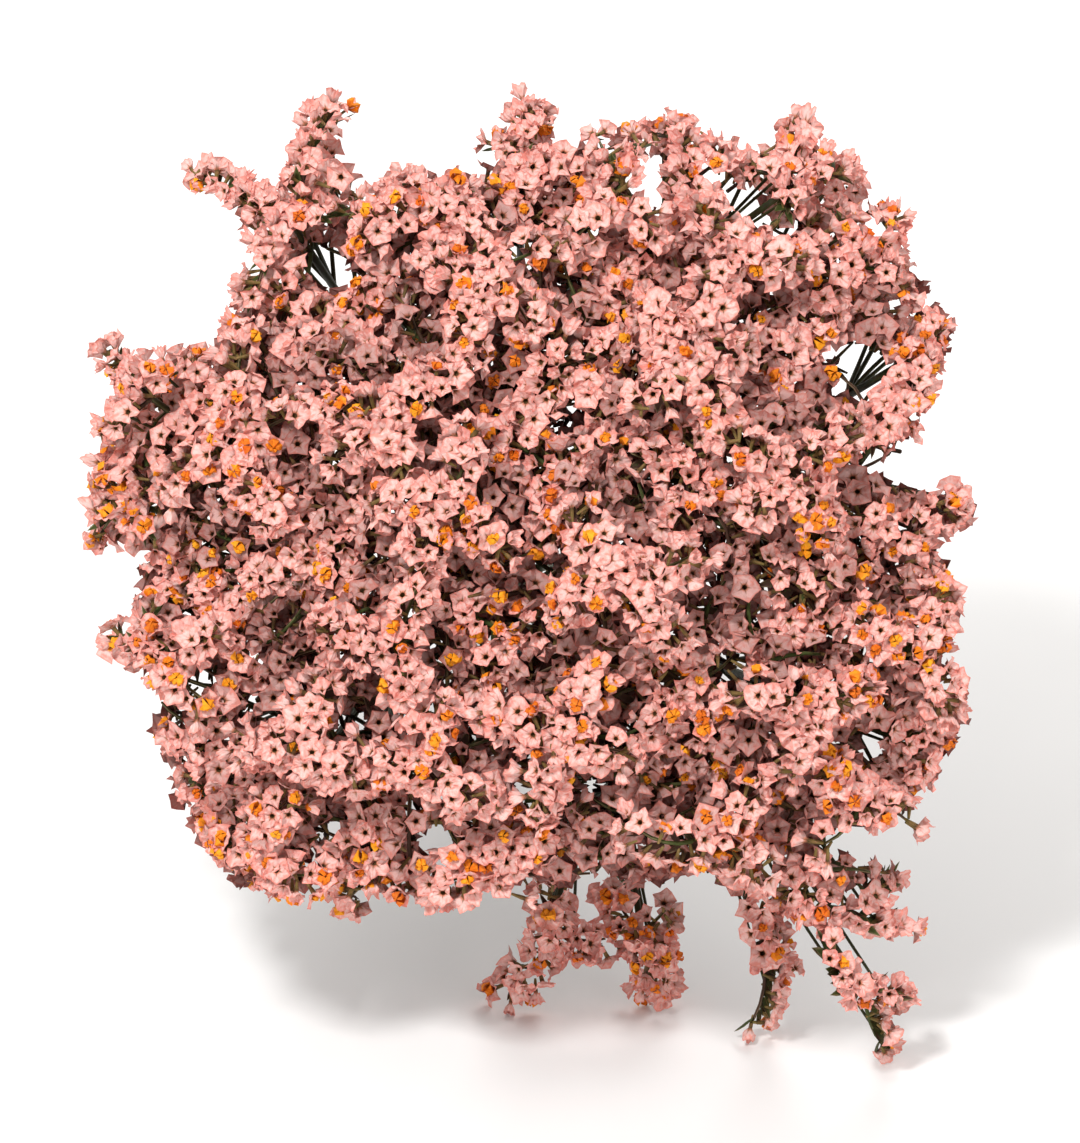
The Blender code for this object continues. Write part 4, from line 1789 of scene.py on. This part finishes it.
            steps = len(self.axis_radii) - 1
            path = [comb.point(first + (last - first) * step / steps) for step in range(steps + 1)]
            growth.greens.add_tube(path, self.axis_radii, 6, 0.0, self.rng.randrange(FRONT_TILES))

    def tile(self, comb: Comb, outer: bool) -> int:
        """Chooses a calyx's colours: paler in front, with painted shade in the depth and on the outer rows,
        over a tone that differs at random.

        Args:
            comb: Its comb.
            outer: Whether it stands on the outer rows.

        Returns:
            The tile of the map.
        """
        # Deeper combs inside the dome take deep tiles: painted shade, darker the deeper the comb lies
        if comb.filler and self.view.spread(comb.middle) < INNER_SPREAD:
            dark = 0.5 * self.rng.random() + 0.9 * (1.0 - min(1.0, comb.depth / (70 * MM)))
            return FRONT_TILES + int(min(0.99, dark) * DEEP_TILES)
        # Other combs: a random tone, lowered as painted shade for deeper heads and the outer rows
        middle = 0.66 - 0.1 * min(1.0, comb.depth / (30 * MM)) - (0.12 if outer else 0.0)
        share = min(1.0, max(0.0, self.rng.gauss(middle, 0.22)))
        return int(share * (FRONT_TILES - 1))

    def bract(self, root: Vector, direction: Vector, tangent: Vector, comb: Comb, outer: bool,
              greens: MeshBatch) -> None:
        """Sets a bract below a calyx.

        Args:
            root: Where the calyx leaves the axis.
            direction: The calyx's direction.
            tangent: The axis's direction.
            comb: The comb.
            outer: Whether it shows from the side or from behind.
            greens: Takes the bract.
        """
        lean = -comb.facing * 0.5 if outer else comb.facing * 0.2
        aim = (direction + tangent * self.rng.uniform(0.4, 1.0) + lean).normalized()
        back = -comb.facing if outer else direction.cross(tangent).cross(aim)
        half = FRONT_TILES // 2
        tile = self.rng.randrange(half) + (half if comb.edge else 0)
        size = self.rng.uniform(1.0, 1.5) if self.low_sprig(comb) else self.rng.uniform(0.8, 1.15)
        greens.add(self.rng.choice(self.bracts), upright_to(aim, back), root + direction * 0.6 * MM,
                   size, tile)


@dataclass
class StemMaker:
    """Makes a spray's ribbed stem, its branches, its necks and the thin stems of its combs.

    Attributes:
        rng: Draws what varies.
        finish: The stems' material.
        taper: How much thinner the main stem is at its leading head.
        wings: How far its ribs stand out, as a share of its radius.
        deep_radius: Radius of a thin stem to a deeper comb.
        comb_radius: Radius of a thin stem to a front comb.
        neck_radii: The radii of a head's neck, up to its hub.
        sway: The most that a thin stem bends, as a share of its length.
    """

    rng: random.Random
    finish: bpy.types.Material
    taper: float = 0.36
    wings: float = 0.28
    deep_radius: float = 0.8 * MM
    comb_radius: float = 0.65 * MM
    neck_radii: tuple[float, ...] = (1.3 * MM, 1.2 * MM, 1.0 * MM)
    sway: float = 0.03

    def build(self, spray: Spray) -> None:
        """Makes a spray's stem as one piece.

        Args:
            spray: The spray, whose combs are dressed.
        """
        batch = MeshBatch()
        path = smooth_path(spray.trunk, 7)
        radii = [STEM_RADIUS * (1 - self.taper * index / len(path)) for index in range(len(path))]
        batch.add_tube(path, radii, 12, self.wings, 0)
        for fork, end in spray.branches.values():
            self.thin_stem(batch, fork, end, BRANCH_RADIUS)
        for comb, root in spray.extra:
            if len(comb.held) > 1:
                self.thin_stem(batch, root, comb.point(sum(comb.stretch()) / 2), self.deep_radius)
        for index, (fork, end) in spray.branches.items():
            for comb in spray.combs[index]:
                root = fork.lerp(end, self.rng.uniform(0.0, 0.4))
                if comb.held:
                    share = max(comb.held) * self.rng.uniform(0.3, 0.6)
                    self.thin_stem(batch, root, comb.point(share), self.comb_radius)
        for index, hub in enumerate(spray.hubs):
            end = spray.branches[index][1] if index else spray.trunk[-1]
            batch.add_tube([end, (end + hub) / 2, hub], self.neck_radii, 9, 0.2, index)
        hand_over(batch.object(f"stems_{spray.name}", self.finish, True, mapped=False),
                  Slot.STEMS, f"stem_{spray.name}")

    def thin_stem(self, batch: MeshBatch, root: Vector, end: Vector, radius: float) -> None:
        """Runs a thin, slightly bent stem between two points.

        Args:
            batch: Takes the stem.
            root: Where it leaves.
            end: Where it ends.
            radius: Its radius.
        """
        run = end - root
        sway = run.orthogonal().normalized() * run.length * self.rng.uniform(-self.sway, self.sway)
        path = smooth_path([root, root.lerp(end, 0.5) + sway, end], 4)
        radii = [radius * (1.1 - 0.25 * index / len(path)) for index in range(len(path))]
        sides = 6 if radius < BRANCH_RADIUS else 9
        batch.add_tube(path, radii, sides, 0.22, self.rng.randrange(FRONT_TILES))


@dataclass(frozen=True)
class RubberBand:
    """A round rubber cord, wound round the stems.

    Attributes:
        turns: How many times it is wound.
        steps: Points of its path a turn.
        radius: The cord's radius.
        sides: How many sides the cord has.
        seat: From the outer stems' ribs to its middle line.
        wave: How far it follows the stems in and out.
        margin: How much narrower than the band the winding's middle line is.
    """

    turns: int = 3
    steps: int = 40
    radius: float = 0.75 * MM
    sides: int = 8
    seat: float = 0.65 * MM
    wave: float = 0.12 * MM
    margin: float = 2.4 * MM

    def build(self, shift: Vector, finish: bpy.types.Material) -> None:
        """Makes the band.

        Args:
            shift: Its middle in the row frame.
            finish: Its material.
        """
        count = self.turns * self.steps
        path = []
        for step in range(count + 1):
            angle = math.tau * step / self.steps
            out = (step / count - 0.5) * (BINDING_WIDTH - self.margin)
            reach = OUTER_RING_RADIUS + STEM_RADIUS * 1.28 + self.seat + self.wave * math.sin(5 * angle)
            path.append(face_point(reach * math.cos(angle), reach * math.sin(angle), out) + shift)
        batch = MeshBatch()
        batch.add_tube(path, [self.radius] * len(path), self.sides, 0.0, 0)
        hand_over(batch.object("rubber_band", finish, True, mapped=False), Slot.BINDING, "binding")


@dataclass
class Bunch:
    """The whole bunch: sprays, stems and band.

    Attributes:
        finishes: Its materials.
        rng: Draws what varies.
        view: How the picture sees it.
        ages: The shares of calyxes with a corolla, one of which a front comb has.
        ripe_side: Left of this, in the picture, more calyxes hold a corolla.
        ripe_more: How many more, as a share.
        deep_age: The share in the depth.
    """

    finishes: Finishes
    rng: random.Random
    view: View
    ages: tuple[float, ...] = (0.03, 0.07, 0.14, 0.22, 0.42)
    ripe_side: float = -100 * MM
    ripe_more: float = 0.14
    deep_age: float = 0.06

    def build(self, low: Vector, high: Vector) -> None:
        """Makes every piece.

        Args:
            low: The solids' lowest corner.
            high: The solids' highest corner.
        """
        shift = self.view.shift
        sprays = Layout(shift, self.rng).sprays()
        LOG.info("deeper combs: %d", Filler(shift, self.rng).fill(sprays))
        front = [comb for spray in sprays for comb in spray.front_combs]
        dresser = Dresser(self.rng, low, high, self.view, Cover(self.view, front))
        stems = StemMaker(self.rng, self.finishes.stem)
        growths = [Growth() for _ in sprays]
        for spray, growth in zip(sprays, growths):
            for comb in spray.front_combs:
                dresser.dress(comb, self.age(comb), growth)
        for spray, growth in zip(sprays, growths):
            for comb, _ in spray.extra:
                dresser.dress(comb, self.deep_age, growth)
            growth.finish(spray, self.finishes)
            stems.build(spray)
        RubberBand().build(shift, self.finishes.rubber)

    def age(self, comb: Comb) -> float:
        """Gives the share of a front comb's calyxes that still hold a corolla."""
        right, _ = self.view.place(comb.start)
        return self.rng.choice(self.ages) + (self.ripe_more if right < self.ripe_side else 0.0)


@dataclass(frozen=True)
class Lamp:
    """One soft light, aimed at the flowers.

    Attributes:
        name: Its name.
        place: Where it stands.
        size: The side of its square, in metres.
        power: Its power, in watts.
    """

    name: str
    place: tuple[float, float, float]
    size: float
    power: float

    def build(self, target: Vector) -> None:
        """Makes the light.

        Args:
            target: What it is aimed at.
        """
        data = bpy.data.lights.new(self.name, "AREA")
        data.size = self.size
        data.energy = self.power
        lamp = bpy.data.objects.new(self.name, data)
        lamp.location = self.place
        lamp.rotation_mode = "QUATERNION"
        lamp.rotation_quaternion = (target - Vector(self.place)).to_track_quat("-Z", "Y")
        bpy.context.scene.collection.objects.link(lamp)


@dataclass(frozen=True)
class Studio:
    """Plain pale floor, soft lights and the camera along the bunch's axis.

    Attributes:
        view: Where the camera stands.
        picture_height: What the picture's height shows, in metres at its true scale.
        floor_reach: From the middle of the floor to its edge, in metres.
        floor_colour: The floor's colour.
        sky_colour: The sky's colour.
        sky_strength: The sky's strength.
        lamps: The key over the camera, the fill and the rim light.
    """

    view: View
    picture_height: float = 457.2 * MM
    floor_reach: float = 30.0
    floor_colour: Colour = (0.9, 0.89, 0.88)
    sky_colour: Colour = (1.0, 0.985, 0.97)
    sky_strength: float = 0.6
    lamps: tuple[Lamp, ...] = (
        Lamp("key", (-0.7, -1.7, 2.2), 0.45, 52.0),
        Lamp("fill", (1.3, -1.4, 0.9), 1.2, 6.0),
        Lamp("rim", (0.3, 1.2, 1.3), 0.9, 14.0),
    )

    def build(self) -> None:
        """Makes floor, sky, lights and camera."""
        self.floor()
        self.sky()
        target = self.view.shift + face_point(0, 0, self.view.out)
        for lamp in self.lamps:
            lamp.build(target)
        self.camera()

    def floor(self) -> None:
        """Makes a wide pale floor."""
        mesh = bpy.data.meshes.new("floor")
        corners = [(x * self.floor_reach, y * self.floor_reach, 0)
                   for x, y in ((-1, -1), (1, -1), (1, 1), (-1, 1))]
        mesh.from_pydata(corners, [], [(0, 1, 2, 3)])
        material = bpy.data.materials.new("floor")
        material.use_nodes = True
        shader = material.node_tree.nodes["Principled BSDF"]
        shader.inputs["Base Color"].default_value = (*self.floor_colour, 1.0)
        shader.inputs["Roughness"].default_value = 0.9
        mesh.materials.append(material)
        floor = bpy.data.objects.new("floor", mesh)
        bpy.context.scene.collection.objects.link(floor)
        floor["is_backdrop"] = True

    def sky(self) -> None:
        """Makes the pale sky, and shows the colours as they are."""
        world = bpy.data.worlds.new("sky")
        world.use_nodes = True
        background = world.node_tree.nodes["Background"]
        background.inputs["Color"].default_value = (*self.sky_colour, 1.0)
        background.inputs["Strength"].default_value = self.sky_strength
        bpy.context.scene.world = world
        bpy.context.scene.view_settings.view_transform = "Standard"

    def camera(self) -> None:
        """Makes the camera that looks along the bunch's axis."""
        view = self.view
        data = bpy.data.cameras.new("camera")
        data.sensor_width = 36.0
        data.lens = data.sensor_width * view.distance / self.picture_height
        data.clip_start = 0.05
        data.clip_end = 100.0
        camera = bpy.data.objects.new("camera", data)
        back = face_point(0, 0, 1)
        camera.location = view.shift + face_point(view.right, view.up, view.out) + back * view.distance
        camera.rotation_mode = "QUATERNION"
        camera.rotation_quaternion = (-back).to_track_quat("-Z", "Y")
        bpy.context.scene.collection.objects.link(camera)
        bpy.context.scene.camera = camera


def main() -> None:
    """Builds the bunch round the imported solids, then the studio."""
    logging.basicConfig(level=logging.INFO, format="%(message)s")
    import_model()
    low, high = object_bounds()
    band_low, band_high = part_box("binding")
    view = View((band_low + band_high) / 2)
    Bunch(Finishes.build(), random.Random(SEED), view).build(low, high)
    Studio(view).build()


if __name__ == "__main__":
    main()
